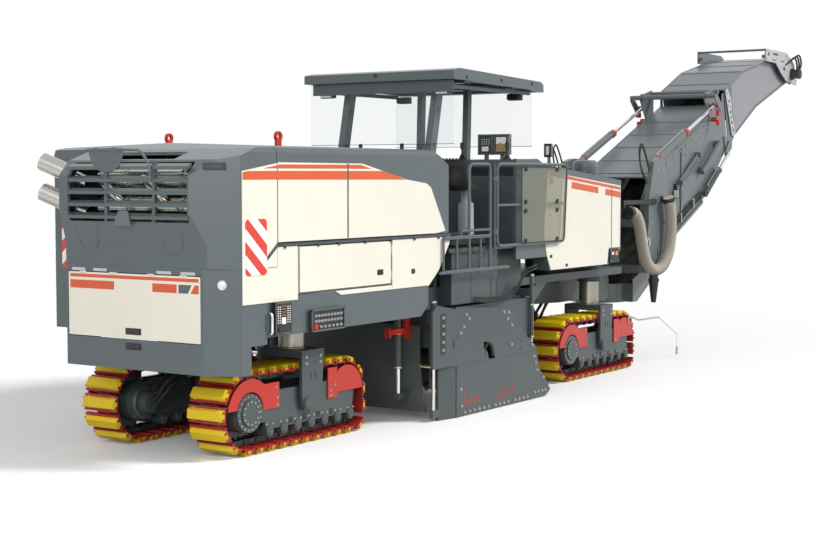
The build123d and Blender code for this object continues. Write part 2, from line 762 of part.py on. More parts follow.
# ---------------------------------------------------------------- lower sides, cream sheets and service doors
def lower_side():
    # right-hand wall below the hood, open over the track and where the service door sits
    outer = -half_width + panel_sheet
    module_bottom = seam_height - 200 - seat_gap
    outline = [(hood_rear_x + 4, skirt_top), (hood_rear_x + 4, module_bottom),
               (recess_x + 130 + seat_gap, module_bottom), (recess_x + 130 + seat_gap, 1130), (-2150, 1130),
               (-1560, 1130), (-1425, 1240), (-1425, 1420), (-1236, 1587), (-1014, 1880), (-1000, skirt_top)]
    wall = side_cut(outline, outer, outer + sheet)
    opening = block(door_rear_x, door_front_x, -half_width, outer + sheet + 1, side_door_low, side_door_high)
    floor = block(recess_x + 140, -1480, outer + sheet, -rail_y, 1330, 1360)
    return (wall - opening).fuse(floor)


def service_door():
    # right-hand door, flush with the cream sheets round it
    edge = door_front_x - swing_gap
    y = -half_width + panel_sheet
    panel = block(door_rear_x + swing_gap, edge, -half_width, y + sheet,
                  side_door_low + swing_gap, side_door_high - swing_gap)
    knuckles = [rod((edge, y - knuckle_out, z), (edge, y - knuckle_out, z + knuckle_length), knuckle_radius)
                for z in (side_door_low + 60, side_door_high - 60 - knuckle_length)]
    return fuse([panel] + knuckles)


def lower_cream():
    # cream sheets before and behind the service door, with the raised notch below the rear one
    rear = [(recess_x + 132, cream_bottom), (door_rear_x - 4, cream_bottom), (door_rear_x - 4, skirt_top - 30),
            (hood_rear_x + 4, skirt_top - 30), (hood_rear_x + 4, seam_height - 202),
            (recess_x + 132, seam_height - 202)]
    front = [(door_front_x + 4, cream_bottom), (-1425, cream_bottom), (-1236, 1587), (-1022, 1872),
             (-1070, skirt_top - 30), (door_front_x + 4, skirt_top - 30)]
    under = [(door_rear_x + 170, side_door_low - 3), (door_rear_x + 570, side_door_low - 5),
             (door_rear_x + 660, cream_bottom), (door_front_x - 2, cream_bottom), (door_front_x - 2, side_door_low - 3)]
    return [side_cut(points, -half_width, -half_width + panel_sheet) for points in (rear, front, under)]


def rear_cream():
    # cream sheet on the rear corner, from the lower panels up to the stripe
    low = seam_height - 198
    front = hood_rear_x - swing_gap - 4
    outline = [(corner_x + 10, cream_bottom), (recess_x + 128, cream_bottom), (recess_x + 128, low), (front, low),
               (front, 2670), (corner_x + 10, 2600)]
    return side_cut(outline, -half_width - panel_sheet, -half_width)


def hood_cream():
    # cream sheet on the hood's side, level at the back and falling away to the front
    outline = [(hood_rear_x + 4, hood_bottom + 4), (-1300, hood_bottom + 4), (-1122, 1990), (-1400, 2440),
               (-1480, 2481), (-1850, 2523), (-2610, 2675), (hood_rear_x + 4, 2678)]
    return side_cut(outline, -half_width - panel_sheet, -half_width)


right_side = lower_side()
nodes["lower_sides"] = group([right_side, mirrored(right_side)])
door_right = service_door()
nodes["service_door_right"] = door_right
nodes["service_door_left"] = mirrored(door_right)
paired_sheets = lower_cream()
rear_sheet = rear_cream()
hood_sheet = hood_cream()
nodes["hood_side_sheets"] = group([hood_sheet, mirrored(hood_sheet)])


# ---------------------------------------------------------------- warning boards, lamps, exhaust
def warning_boards():
    # boards on the right side and on the left recess's rear face
    side = Plane(origin=(recess_x - 28, -half_width - panel_sheet, 1937), x_dir=(1, 0, 0), z_dir=(0, -1, 0))
    board = extrude(side * RectangleRounded(288, 492, 40), amount=6)
    back = Plane(origin=(recess_x, 1010, 1905), x_dir=(0, -1, 0), z_dir=(-1, 0, 0))
    return group([board, extrude(back * RectangleRounded(288, 460, 40), amount=6)])


def exhaust():
    # two polished tail pipes that leave the module's left wall, and the canisters behind the louvers
    pieces = []
    for start, end in tail_pipes:
        bore = rod(between(start, end, 0.3), between(start, end, 1.01), tail_pipe_radius - 13)
        pieces.append(rod(start, end, tail_pipe_radius) - bore)
    shelf = block(canister_x - 35, canister_x + 90, -half_width + sheet, module_left_y - sheet, 2120, 2150)
    canisters = [rod((canister_x, -760, z), (canister_x, 420, z), 110) for z in (2280, 2540)]
    posts = [block(canister_x - 20, canister_x + 20, y - 15, y + 15, 2149, 2540) for y in (-620, 280)]
    return group(pieces + [fuse([shelf] + canisters + posts)])


nodes["warning_boards"] = warning_boards()
nodes["exhaust"] = exhaust()
# ---------------------------------------------------------------- platform, ladders, gates, consoles
def platform():
    # deck with the bulkhead at the hood, a cross wall below and the cabinets beneath the ladders
    deck = block(platform_rear_x, 419, -1200, 1200, platform_height - 40, platform_height)
    legs = [block(418, platform_front_x, -1180, 1180, platform_height - 40, platform_height)]
    for side in (-1, 1):
        y0, y1 = sorted((side * (rail_y - rail_thickness), side * rail_y))
        legs.append(block(platform_rear_x, platform_rear_x + 60, y0, y1, deck_bottom + deck_thickness,
                          platform_height - 40))
        legs.append(block(300, 900, y0, y1, deck_bottom + deck_thickness, platform_height - 40))
        y0, y1 = sorted((side * 1160, side * (rail_y + seat_gap)))
        legs.append(block(-850, 110, y0, y1, 1190, platform_height - 40))
        y0, y1 = sorted((side * (hood_hinge_y + hood_hinge_width + 2), side * (hood_hinge_y + 2 * hood_hinge_width)))
        legs.append(block(hood_hinge_x, hood_hinge_x + 40, y0, y1, platform_height - 1, hood_hinge_height))
        legs.append(rod((hood_hinge_x, y0, hood_hinge_height), (hood_hinge_x, y1, hood_hinge_height),
                        hood_hinge_eye))
        legs.append(rod((hood_hinge_x, side * hood_hinge_y, hood_hinge_height),
                        (hood_hinge_x, side * (hood_hinge_y + 60), hood_hinge_height), hood_hinge_pin))
    return fuse([deck] + legs)


def ladder():
    # right-hand boarding ladder: outer frame with uprights, and two tall stiles joined by a loop at the top
    y = -half_width - 20
    pieces = [
        rod((-1250, y, 1552), (170, y, 1552), rail_radius),
        rod((-1180, y, 1905), (-235, y, 1905), rail_radius - 3),
        rod((-840, y, 1980), (-235, y, 1980), rail_radius - 3),
    ]
    for x in (-1180, -920, -435):
        pieces.append(rod((x, y, 1552), (x, y, 1905), rail_radius - 4))
    stile = [(-670, y, 1552), (-670, y, 2685), (-235, y, 2685), (-235, y, 1552)]
    pieces.append(tube_path(stile, rail_radius, 70))
    for x in (-800, 60):
        pieces.append(rod((x, y, 1552), (x, -1160, 1552), rail_radius - 3))
    pieces.append(rod((-840, y, 1905), (-840, y, 1980), rail_radius - 3))
    return fuse(pieces)


def gate_post():
    # post that carries the side gate, standing on the deck's edge
    y = -gate_plane
    post = rod((gate_post_x, y, platform_height - 20), (gate_post_x, y, gate_high), rail_radius + 3)
    foot = block(gate_post_x - 40, gate_post_x + 40, y, -1190, platform_height - 30, platform_height - 10)
    return post.fuse(foot)


def gate():
    # tubular frame with a rounded outline and a middle rail, hinged on the post
    y = -gate_plane
    front_mid = gate_front_x - 70 * (gate_high - gate_mid) / (gate_high - gate_low)
    upper = [(gate_rear_x, y, gate_mid), (gate_rear_x, y, gate_high), (gate_front_x, y, gate_high),
             (front_mid, y, gate_mid)]
    lower = [(gate_rear_x, y, gate_mid), (gate_rear_x, y, gate_low), (gate_front_x - 70, y, gate_low),
             (front_mid, y, gate_mid)]
    pieces = [tube_path(upper, rail_radius, 70), tube_path(lower, rail_radius, 70)]
    pieces.append(rod((gate_rear_x, y, gate_mid), (front_mid, y, gate_mid), rail_radius - 3))
    for z in (gate_low + 160, gate_high - 160):
        pieces.append(rod((gate_post_x + rail_radius + 4, y, z), (gate_rear_x, y, z), 11))
        ring = rod((gate_post_x, y, z - 25), (gate_post_x, y, z + 25), rail_radius + 15)
        ring -= rod((gate_post_x, y, z - 30), (gate_post_x, y, z + 30), rail_radius + 3.08)
        pieces.append(ring)
    return fuse(pieces)


def gate_screen():
    # clear sheet in the gate's front half
    y = -gate_plane
    outline = [(420, gate_low + 8), (gate_front_x - 95, gate_low + 8), (gate_front_x - 30, gate_high - 30),
               (420, gate_high - 30)]
    return side_cut(outline, y - rail_radius - 8, y - rail_radius - 0.2)


right_post = gate_post()
nodes["platform"] = fuse([platform(), right_post, mirrored(right_post)])
right_ladder = ladder()
nodes["boarding_ladders"] = group([right_ladder, mirrored(right_ladder)])
gate_right = gate()
nodes["gate_right"] = gate_right
nodes["gate_left"] = mirrored(gate_right)
screen_right = gate_screen()
nodes["gate_screen_right"] = screen_right
nodes["gate_screen_left"] = mirrored(screen_right)


def consoles():
    # dash across the platform's front, with two screens, a small display and a control head
    dash = side_cut([(620, platform_height), (1120, platform_height), (1120, 2700), (980, 2755), (440, 2740),
                     (440, 2660), (620, 2560)], -1180, 1180)
    well = side_cut([(660, platform_height - 1), (1080, platform_height - 1), (1080, 2560), (660, 2560)],
                    -1150, 1150)
    pieces = [dash - well]
    for y in (-895, -685):
        pieces.append(block(640, 700, y - 100, y + 100, 2800, 3035))
        pieces.append(block(655, 685, y - 22, y + 22, 2740, 2801))
    pieces.append(rod((560, 300, 2735), (560, 300, 2830), 14))
    pieces.append(rod((560, 240, 2835), (560, 360, 2835), 18))
    return fuse(pieces)


nodes["operator_console"] = consoles()


# ---------------------------------------------------------------- canopy
def roof_underside(x):
    # height of the roof's underside inside its lip
    start = roof_rear_x + roof_lip
    run = roof_front_x - 2 * roof_lip - start
    return roof_height - 60 - roof_fall * (x - start) / run


def canopy_roof():
    # shallow tray with a lip all round and header beams underneath
    profile = [(roof_rear_x, roof_height - roof_depth), (roof_rear_x, roof_height - 25),
               (roof_rear_x + 120, roof_height), (roof_front_x - 60, roof_height - 60),
               (roof_front_x, roof_height - 100), (roof_front_x, roof_height - roof_depth - 60),
               (roof_front_x - 120, roof_height - roof_depth - 50)]
    shell = side_cut(profile, -roof_half_width, roof_half_width)
    rear = roof_rear_x + roof_lip
    front = roof_front_x - 2 * roof_lip
    low = roof_height - roof_depth - 100
    well = [(rear, low), (rear, roof_underside(rear)), (front, roof_underside(front)), (front, low)]
    shell -= side_cut(well, -roof_half_width + roof_lip, roof_half_width - roof_lip)
    beams = []
    for x, z in ((post_x + 180, roof_height - 90), (830, roof_height - 105)):
        beams.append(block(x - 60, x + 60, -roof_half_width + roof_lip - 1, roof_half_width - roof_lip + 1,
                           z - 60, z))
    return fuse([shell] + beams)


def canopy_posts():
    # rear pair that leans forward at the top, and the slimmer front pair on the dash
    rear = [(post_x - 58, platform_height), (post_x + 58, platform_height), (post_x + 58, 2750),
            (post_x + 238, roof_height - 150), (post_x + 122, roof_height - 150), (post_x - 58, 2750)]
    pieces = []
    for side in (-1, 1):
        y0, y1 = sorted((side * (post_y - 40), side * (post_y + 40)))
        pieces.append(side_cut(rear, y0, y1))
        front = [(770, 2745), (850, 2750), (880, roof_height - 165), (800, roof_height - 165)]
        y0, y1 = sorted((side * 285, side * 355))
        pieces.append(largest(side_cut(front, y0, y1) - nodes["operator_console"]))
    return group(pieces)


def windscreens():
    # clear sheets behind and before the operator, hung from the roof
    half = roof_half_width - roof_lip - 8
    sheets = []
    for x in (-490, 1240):
        top = roof_underside(x + screen_thickness) - seat_gap
        sheets.append(block(x, x + screen_thickness, -half, half, screen_bottom, top))
    return group(sheets)


nodes["canopy_roof"] = canopy_roof()
nodes["canopy_posts"] = canopy_posts()
nodes["windscreens"] = windscreens()


# ---------------------------------------------------------------- front body
def front_outline(inset):
    # side view of the front body: sloping top, blunt nose
    low = front_body_bottom + inset
    return [(420 + inset, 1620 + inset), (front_body_rear_x, 1620 + inset), (front_body_rear_x + 60, low),
            (2760, low), (front_body_front_x - 60 - inset, 1640 + inset),
            (front_body_front_x - inset, 2290), (front_body_front_x - 60 - inset, 2500 - inset),
            (420 + inset, 2750 - inset)]


def front_form():
    # the front body's outside, rounded at its front corners
    plan = Pos(front_body_front_x / 2, 0) * RectangleRounded(front_body_front_x, 2 * front_body_half, 130)
    return extrude(Pos(0, 0, 1400) * plan, amount=1500) & side_cut(front_outline(0), -front_body_half, front_body_half)


def front_body():
    # hollow body before the platform, rounded at its front corners
    half = front_body_half
    form = front_form()
    inner_plan = Pos(front_body_front_x / 2, 0) * RectangleRounded(front_body_front_x - 2 * sheet,
                                                                   2 * (half - sheet), 100)
    inner = extrude(Pos(0, 0, 1400) * inner_plan, amount=1500)
    body = form - (inner & side_cut(front_outline(sheet), -half, half))
    body -= block(419, 1181, -1181, 1181, 1600, 2760)
    body -= block(440, 3000, -rail_y - 6, rail_y + 6, 1400, deck_bottom + deck_thickness + 200)
    body -= block(3000, front_body_front_x + 1, -nose_half_width - 8, nose_half_width + 8, 1400, 1900)
    for side in (-1, 1):
        body -= rod((front_axle_x, side * front_track_y, 1400), (front_axle_x, side * front_track_y, 1895),
                    column_radius + guide_wall + 10)
    return body


def front_cream():
    # cream sheet on the right side of the front body
    outline = [(1150, 2608), (1060, 1900), (1130, 1640), (1232, front_body_bottom + 6), (2700, front_body_bottom + 6),
               (2740, 1660), (3050, 1660), (3058, 2436)]
    return side_cut(outline, -front_body_half - panel_sheet, -front_body_half)


nodes["front_body"] = front_body()
paired_sheets.append(front_cream())
nodes["side_sheets"] = group([rear_sheet] + paired_sheets + [mirrored(piece) for piece in paired_sheets])


def air_cleaner():
    # domed pre-cleaner on the front body, and a stalk with a small display
    lid = 2455
    dome = rod((3000, -760, lid), (3000, -760, 2760), 160)
    dome = fillet(dome.edges().sort_by(Axis.Z)[-1], 60)
    stalk = rod((1940, -800, 2560), (1940, -800, 2790), 12)
    display = block(1920, 1960, -850, -750, 2785, 2950)
    form = front_form()
    return group([dome - form, stalk.fuse(display) - form])


nodes["air_cleaner"] = air_cleaner()


# ---------------------------------------------------------------- conveyors
def receiving_trough():
    # covered trough that carries the milled material from the drum up to the slewing conveyor
    outline = [(720, 330), (720, 620), (1500, 990), (2400, 1240), (belly_end_x - 60, 1240),
               (belly_end_x, 1160), (belly_end_x, 920), (belly_end_x - 120, 860), (3450, yoke_top + 25),
               (2900, yoke_top + 25), (2050, 960), (1300, 560)]
    shell = side_cut(outline, -belly_half_width, belly_half_width)
    inner = [(700, 400), (700, 560), (1500, 960), (2400, 1210), (belly_end_x + 10, 1210),
             (belly_end_x + 10, 960), (2900, 960), (2030, 990), (1300, 600)]
    shell -= side_cut(inner, -belly_half_width + belly_wall, belly_half_width - belly_wall)
    hangers = [block(x, x + 60, -belly_half_width + 60, belly_half_width - 60, 1230, deck_bottom)
               for x in (2450, 2900)]
    return fuse([shell] + hangers)


nodes["receiving_trough"] = receiving_trough()


def slew_yoke():
    # pin in the frame's two bearings, a plate above and below them, and an arm up each side of the boom
    low = slew_bottom
    inner = arm_y - arm_thickness / 2
    outer = arm_y + arm_thickness / 2
    pieces = [rod((slew_x, 0, low), (slew_x, 0, slew_top), slew_pin_radius)]
    web = [(slew_x - 110, -nose_half_width), (slew_x - 20, -inner - 20), (luff_x - 160, -inner - 20),
           (luff_x - 160, inner + 20), (slew_x - 20, inner + 20), (slew_x - 110, nose_half_width)]
    for z0, z1 in ((low, low + slew_plate), (slew_top - slew_plate, slew_top)):
        pieces.append(plan_cut(web, z0, z1) - block(slew_x + 100, luff_x, -inner, inner, z0 - 1, z1 + 1))
    arm = [(5060, low), (5500, low + 60), (5540, 1360), (5630, 2230), (5530, 2700), (5490, 2810), (5370, 2810),
           (5150, 2760), (4990, 2230), (4990, 1900), (4945, 1700), (4945, low + 40)]
    for side in (-1, 1):
        y0, y1 = sorted((side * inner, side * outer))
        pieces.append(side_cut(arm, y0, y1))
        pieces.append(rod((lift_base_x, side * (inner + 1), lift_base_height),
                          (lift_base_x, side * (lift_across - 24), lift_base_height), cylinder_pin_radius))
    body = fuse(pieces)
    body -= rod((luff_x, -outer - 1, luff_height), (luff_x, outer + 1, luff_height), trunnion_radius + 0.05)
    return body


def strip(points, thickness):
    # bent sheet of even thickness under a run of points
    return points + [(x, z - thickness) for x, z in reversed(points)]


def both_sides(outline, y0, y1):
    # the same sheet on the right and on the left
    return [side_cut(outline, -y1, -y0), side_cut(outline, y0, y1)]


def cross_tube(x, z, half, radius):
    # round bar from side to side
    return rod((x, -half, z), (x, half, z), radius)


def belt_drums(tail, head):
    # drum at each end of a belt, with its shaft between the side sheets
    pieces = []
    for x, z in (tail, head):
        pieces.append(cross_tube(x, z, belt_half_width + 10, belt_drum_radius))
        pieces.append(cross_tube(x, z, boom_half_width - 1, belt_shaft_radius))
    for share in (0.3, 0.55, 0.8):
        x = tail[0] + share * (head[0] - tail[0])
        z = tail[1] + share * (head[1] - tail[1])
        pieces.append(cross_tube(x, z, boom_half_width - 1, belt_shaft_radius))
    return pieces


def belt(tail, head):
    # closed belt round its tail drum and its head drum
    run = (head[0] - tail[0], head[1] - tail[1])
    middle = ((head[0] + tail[0]) / 2, belt_half_width, (head[1] + tail[1]) / 2)
    length = math.hypot(*run)
    inner = belt_drum_radius + seat_gap
    loop_shape = SlotCenterToCenter(length, 2 * (inner + belt_thickness)) - SlotCenterToCenter(length, 2 * inner)
    plane = Plane(origin=middle, x_dir=(run[0], 0, run[1]), z_dir=(0, -1, 0))
    return extrude(plane * loop_shape, amount=2 * belt_half_width)


def hopper():
    # half-round hopper under the trough's end, on the slewing axis
    low = hopper_bottom
    high = hopper_top
    rear = slew_x + 60
    bowl = rod((slew_x, 0, low), (slew_x, 0, high), hopper_radius)
    bowl -= rod((slew_x, 0, low + 20), (slew_x, 0, high + 1), hopper_radius - 20)
    bowl -= block(rear, slew_x + hopper_radius + 1, -hopper_radius - 1, hopper_radius + 1, low - 1, high + 1)
    wings = [block(rear - 20, rear, *sorted((side * (hopper_radius - 30), side * (boom_half_width - 1))), low, high)
             for side in (-1, 1)]
    return [bowl] + wings


def lower_boom():
    # lower half of the discharge conveyor, with its hopper, trunnions and the gantry for the lift cylinders
    rear = slew_x + 40
    end = fold_x - 84
    outline = [(rear, hopper_bottom), (rear, 1120), (5110, 1180), (5130, 1700), (5180, 2200)]
    outline += lower_top + [(8080, 3840), (8130, 3840), (end, 3110), (end, 3000), (8250, 2960)] + lower_bottom
    half = boom_half_width
    pieces = both_sides(outline, half - boom_sheet, half)
    pieces.append(side_cut(strip(lower_top, 20), -half + boom_sheet - 1, half - boom_sheet + 1))
    floor = strip([(5554, 1093), (5080, hopper_bottom + 30), (rear, hopper_bottom + 30)], 30)
    pieces.append(side_cut(floor, -half + boom_sheet - 1, half - boom_sheet + 1))
    pieces += hopper() + belt_drums(lower_tail, lower_head)
    ear = [(7330, 3760), (7390, 3830), (7470, 3830), (7760, 3900), (7830, 3850), (7830, 3500), (7560, 3440)]
    pieces += both_sides(ear, half - 1, half + 16)
    hanger = [(7370, 3800), (7440, 3800), (7700, 3600), (7680, 3560), (7550, 3560), (7370, 3720)]
    pieces += both_sides(hanger, 690, 706)
    pieces.append(cross_tube(7400, 3770, 706, 36))
    pieces.append(cross_tube(7770, 3845, 586, 32))
    lug = [(8150, 3170), (8300, 3170), (8440, 3090), (8440, 3020), (8360, 2990), (8200, 3000)]
    pieces += both_sides(lug, half + 1, half + 1 + fold_lug)
    spacer = [(8150, 3170), (end - 6, 3170), (end - 6, 2998), (8200, 3000)]
    pieces += both_sides(spacer, half - 1, half + 2)
    for side in (-1, 1):
        pieces.append(rod((luff_x, side * (half - 1), luff_height),
                          (luff_x, side * (arm_y + arm_thickness / 2 + 10), luff_height), trunnion_radius))
        pieces.append(rod((fold_base_x, side * (half - 1), fold_base_height),
                          (fold_base_x, side * (fold_across + 24), fold_base_height), cylinder_pin_radius))
        pieces.append(rod((lift_eye_x, side * (half + 15), lift_eye_height),
                          (lift_eye_x, side * (lift_across - 24), lift_eye_height), cylinder_pin_radius))
        pieces.append(rod((lift_eye_x, side * (lift_across + 24), lift_eye_height),
                          (lift_eye_x, side * 691, lift_eye_height), cylinder_pin_radius))
    body = fuse(pieces)
    return body - cross_tube(fold_x, fold_height, half + 100, fold_pin_radius + 0.05)


def fold_plates():
    # perforated plates on the upper boom beside the fold
    outline = [(8170, 3880), (8260, 3930), (8420, 3760), (8480, 3500), (8620, 3240), (8560, 3180), (8470, 3190),
               (8330, 3500), (8290, 3600)]
    plates = both_sides(outline, boom_half_width - 1, boom_half_width + 16)
    for x, z in ((8330, 3730), (8400, 3560), (8450, 3400), (8520, 3280)):
        hole = cross_tube(x, z, boom_half_width + 20, 24) - cross_tube(x, z, boom_half_width, 25)
        plates = [plate - hole for plate in plates]
    return plates


def upper_boom():
    # upper half of the discharge conveyor, up to its head plates, turning on the fold pin
    half = boom_half_width
    outline = upper_top[:-1] + [(10750, 4560), (11130, 4420), (11235, 4240), (11120, 4120), (10937, 4150),
                                (9490, 3665), (8640, 3220), (8430, 3010), (8370, 3010), (8350, 3110)]
    pieces = both_sides(outline, half - boom_sheet, half)
    pieces.append(side_cut(strip(upper_top, 20), -half + boom_sheet - 1, half - boom_sheet + 1))
    pieces += belt_drums(upper_tail, upper_head)
    head = [(9726, 4440), (9726, 4645), (10737, 4631), (11080, 4470), (11240, 4230), (11200, 4110), (10720, 4155),
            (10500, 4250), (10200, 4430)]
    pieces += both_sides(head, tip_half_width - boom_sheet, tip_half_width)
    for x, z in ((9790, 4520), (10650, 4360), (11120, 4210)):
        bar = cross_tube(x, z, tip_half_width - boom_sheet + 1, 30) - cross_tube(x, z, half - 1, 31)
        pieces += bar.solids()
    pieces.append(cross_tube(9770, 4625, tip_half_width, 18))
    face = half + fold_lug + 3
    reach = [(fold_x - 50, fold_height + 50), (fold_x + 60, fold_height + 20), (fold_x + 50, fold_height - 60),
             (fold_eye_x + 20, fold_eye_height - 46), (fold_eye_x - 46, fold_eye_height - 20),
             (fold_eye_x - 40, fold_eye_height + 40)]
    pieces += both_sides(reach, face, face + fold_arm)
    pieces.append(cross_tube(fold_x, fold_height, face + fold_arm, fold_pin_radius))
    return fuse(pieces + fold_plates())


nodes["slew_yoke"] = slew_yoke()
nodes["lower_boom"] = lower_boom()
nodes["upper_boom"] = upper_boom()
nodes["lower_belt"] = belt(lower_tail, lower_head)
nodes["upper_belt"] = belt(upper_tail, upper_head)


# ---------------------------------------------------------------- conveyor cylinders
def cylinder_pair(base, eye, across, gland, inside, barrel_radius, rod_radius, eye_radius):
    # a barrel and a rod on each side, in line from the base pin to the rod's eye, the rod starting at inside
    barrels = []
    rods = []
    stem_end = 1 - (eye_radius - 8) / math.dist(base, eye)
    for side in (-1, 1):
        y = side * across
        start = (base[0], y, base[1])
        end = (eye[0], y, eye[1])
        barrel = rod(start, between(start, end, gland), barrel_radius)
        boss = rod((start[0], y - 22, start[2]), (start[0], y + 22, start[2]), barrel_radius + 8)
        pin = rod((start[0], y - 60, start[2]), (start[0], y + 60, start[2]), cylinder_pin_radius + 0.05)
        bore = rod(between(start, end, 0.08), between(start, end, gland + 0.01), rod_radius + run_gap)
        barrels.append(barrel.fuse(boss) - bore - pin)
        stem = rod(between(start, end, inside), between(start, end, stem_end), rod_radius)
        ring = rod((end[0], y - 20, end[2]), (end[0], y + 20, end[2]), eye_radius)
        rods.append(stem.fuse(ring))
    return group(barrels), group(rods)


nodes["boom_lift_barrels"], nodes["boom_lift_rods"] = cylinder_pair(
    (lift_base_x, lift_base_height), (lift_eye_x, lift_eye_height), lift_across, lift_gland, lift_rod_start,
    lift_barrel_radius, lift_rod_radius, lift_eye_radius)
nodes["boom_fold_barrels"], nodes["boom_fold_rods"] = cylinder_pair(
    (fold_base_x, fold_base_height), (fold_eye_x, fold_eye_height), fold_across, fold_gland, fold_rod_start,
    fold_barrel_radius, fold_rod_radius, fold_eye_radius)


# ---------------------------------------------------------------- dust hose on the yoke
def dust_hose():
    # wide hose of straight runs joined by arcs
    points = [(x, hose_y, z) for x, z in hose_route]
    radii = []
    for i in range(1, len(points) - 1):
        before = Vector(*points[i]) - Vector(*points[i - 1])
        after = Vector(*points[i + 1]) - Vector(*points[i])
        turn = math.radians(before.get_angle(after))
        radii.append(0.45 * min(before.length, after.length) / math.tan(turn / 2))
    path = FilletPolyline(*points, radius=radii)
    start = Plane(origin=path @ 0, z_dir=path % 0)
    return sweep(start * Circle(hose_radius), path=path)


def hose_fittings(hose):
    # collars round the hose's ends on their brackets, and the outlet that hangs under the loop
    y = hose_y
    arm_face = -arm_y - arm_thickness / 2
    outer = hose_radius + collar_wall
    first, second = hose_route[0], hose_route[1]
    last, before = hose_route[-1], hose_route[-2]
    rear_collar = rod((first[0] - 6, y, first[1]), (first[0] + 90, y, first[1] + 2), outer)
    top_collar = rod((last[0], y, last[1]), between((last[0], y, last[1]), (before[0], y, before[1]), 0.35), outer)
    bar = block(4130, 5180, arm_face - 30, arm_face - 12, 2170, 2230)
    strap = block(4130, 4190, arm_face - 30, arm_face - 12, 2050, 2230)
    link = block(5060, 5180, arm_face - 13, arm_face, 2160, 2240)
    pad = block(5370, 5450, arm_face - 32, arm_face, 2190, 2270)
    held = fuse([rear_collar, bar, strap, link]) - hose
    top = fuse([top_collar, pad]) - hose
    low = min(z for x, z in hose_route) - hose_radius
    neck = rod((4950, y, low + 60), (4950, y, low - 60), 62)
    ring = rod((4950, y, low - 20), (4950, y, low - 60), 76)
    nozzle = Pos(4950, y, low - 60) * Rot(180, 0, 0) * Cone(68, 34, 290, align=(Align.CENTER, Align.CENTER, Align.MIN))
    outlet = fuse([neck, ring, nozzle]) - hose
    return group(largest(piece) for piece in (held, top, outlet))


nodes["dust_hose"] = dust_hose()
nodes["dust_hose_fittings"] = hose_fittings(nodes["dust_hose"])


# ---------------------------------------------------------------- small fittings on the body
def service_boxes():
    # control box, grab rail and valve box on the right side, and the lamp box under the front body
    boxes = [
        block(recess_x + 199, recess_x + 440, wall_face - 46, wall_face, 1150, cream_bottom - 2),
        block(recess_x + 740, recess_x + 1250, wall_face - 34, wall_face, 1131, 1330),
        largest(block(2760, 3010, -front_body_half - 20, -front_body_half + 10, 1470, 1640) - nodes["front_body"]),
    ]
    x = recess_x + 150
    handle = tube_path([(x, wall_face, 1165), (x, wall_face - 48, 1165), (x, wall_face - 48, 1345),
                        (x, wall_face, 1345)], 12, 24)
    return group(boxes + [handle])


def lifting_eyes():
    # post through the hood on each side, with an eye above it
    posts = []
    for side in (-1, 1):
        y = side * eye_y
        post = block(eye_x - 35, eye_x + 35, y - eye_thickness / 2, y + eye_thickness / 2,
                     deck_bottom + deck_thickness, eye_height)
        eye = rod((eye_x, y - eye_thickness / 2, eye_height), (eye_x, y + eye_thickness / 2, eye_height), 50)
        bore = rod((eye_x, y - 30, eye_height), (eye_x, y + 30, eye_height), eye_bore)
        posts.append(post.fuse(eye) - bore)
    return group(posts)


def guide_bar():
    # sighting bar on the front right crawler, with a rod down to a bob near the ground
    face = -front_track_y - track_width / 2 + 6 - guard_thickness
    y = face - 8
    post = block(3915, 3945, face - 14, face, 600, 716)
    bar = tube_path([(3930, y, 705), (4240, y, 625), (4890, y, 613)], 12, 40)
    tip = rod((4885, y, 613), (5510, y, 326), 5)
    line = rod((5508, y, 328), (5508, y, 140), 3)
    bob = rod((5508, y, 149), (5508, y, 39), 16)
    return fuse([post, bar, tip, line, bob])


nodes["service_boxes"] = service_boxes()
nodes["lifting_eyes"] = lifting_eyes()
nodes["guide_bar"] = guide_bar()


# ---------------------------------------------------------------- one frame, one file a node
def whole_box(shapes):
    # lowest and highest corner of all the pieces together
    boxes = [shape.bounding_box() for shape in shapes]
    low = [min(getattr(box.min, letter) for box in boxes) for letter in "XYZ"]
    high = [max(getattr(box.max, letter) for box in boxes) for letter in "XYZ"]
    return low, high


low_corner, high_corner = whole_box(nodes.values())
shift = Pos(-(low_corner[0] + high_corner[0]) / 2, -(low_corner[1] + high_corner[1]) / 2, -low_corner[2])
os.makedirs("parts", exist_ok=True)
for name, shape in nodes.items():
    export_step(shift * shape, os.path.join("parts", name + ".step"))
print("nodes", len(nodes), "box", low_corner, high_corner)
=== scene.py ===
import math
import bmesh
import bpy
import numpy as np
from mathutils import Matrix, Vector


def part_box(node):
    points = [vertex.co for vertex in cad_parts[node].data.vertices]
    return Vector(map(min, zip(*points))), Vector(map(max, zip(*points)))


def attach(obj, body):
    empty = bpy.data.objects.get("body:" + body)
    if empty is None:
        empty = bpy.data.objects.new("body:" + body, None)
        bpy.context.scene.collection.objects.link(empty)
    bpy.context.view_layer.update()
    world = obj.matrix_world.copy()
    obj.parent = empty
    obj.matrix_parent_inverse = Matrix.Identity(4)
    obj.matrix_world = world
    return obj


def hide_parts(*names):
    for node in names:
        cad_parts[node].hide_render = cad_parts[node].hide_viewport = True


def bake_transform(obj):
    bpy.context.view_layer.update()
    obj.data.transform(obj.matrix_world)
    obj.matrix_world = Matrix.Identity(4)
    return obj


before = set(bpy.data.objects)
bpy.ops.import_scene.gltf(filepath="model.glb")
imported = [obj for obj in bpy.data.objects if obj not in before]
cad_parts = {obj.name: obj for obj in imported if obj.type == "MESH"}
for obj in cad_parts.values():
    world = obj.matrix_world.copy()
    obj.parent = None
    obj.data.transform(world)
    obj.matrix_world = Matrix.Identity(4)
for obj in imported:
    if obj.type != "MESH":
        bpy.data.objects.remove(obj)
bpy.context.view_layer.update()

# Cold planer: the CAD frame gives every size and place, this script dresses it.
# X below is measured from the milling drum's axis, and toRight points out of the machine's right side.
drumLow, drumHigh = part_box("milling_drum")
drumX = (drumLow.x + drumHigh.x) / 2
toRight, upward = (0, -1, 0), (0, 0, 1)


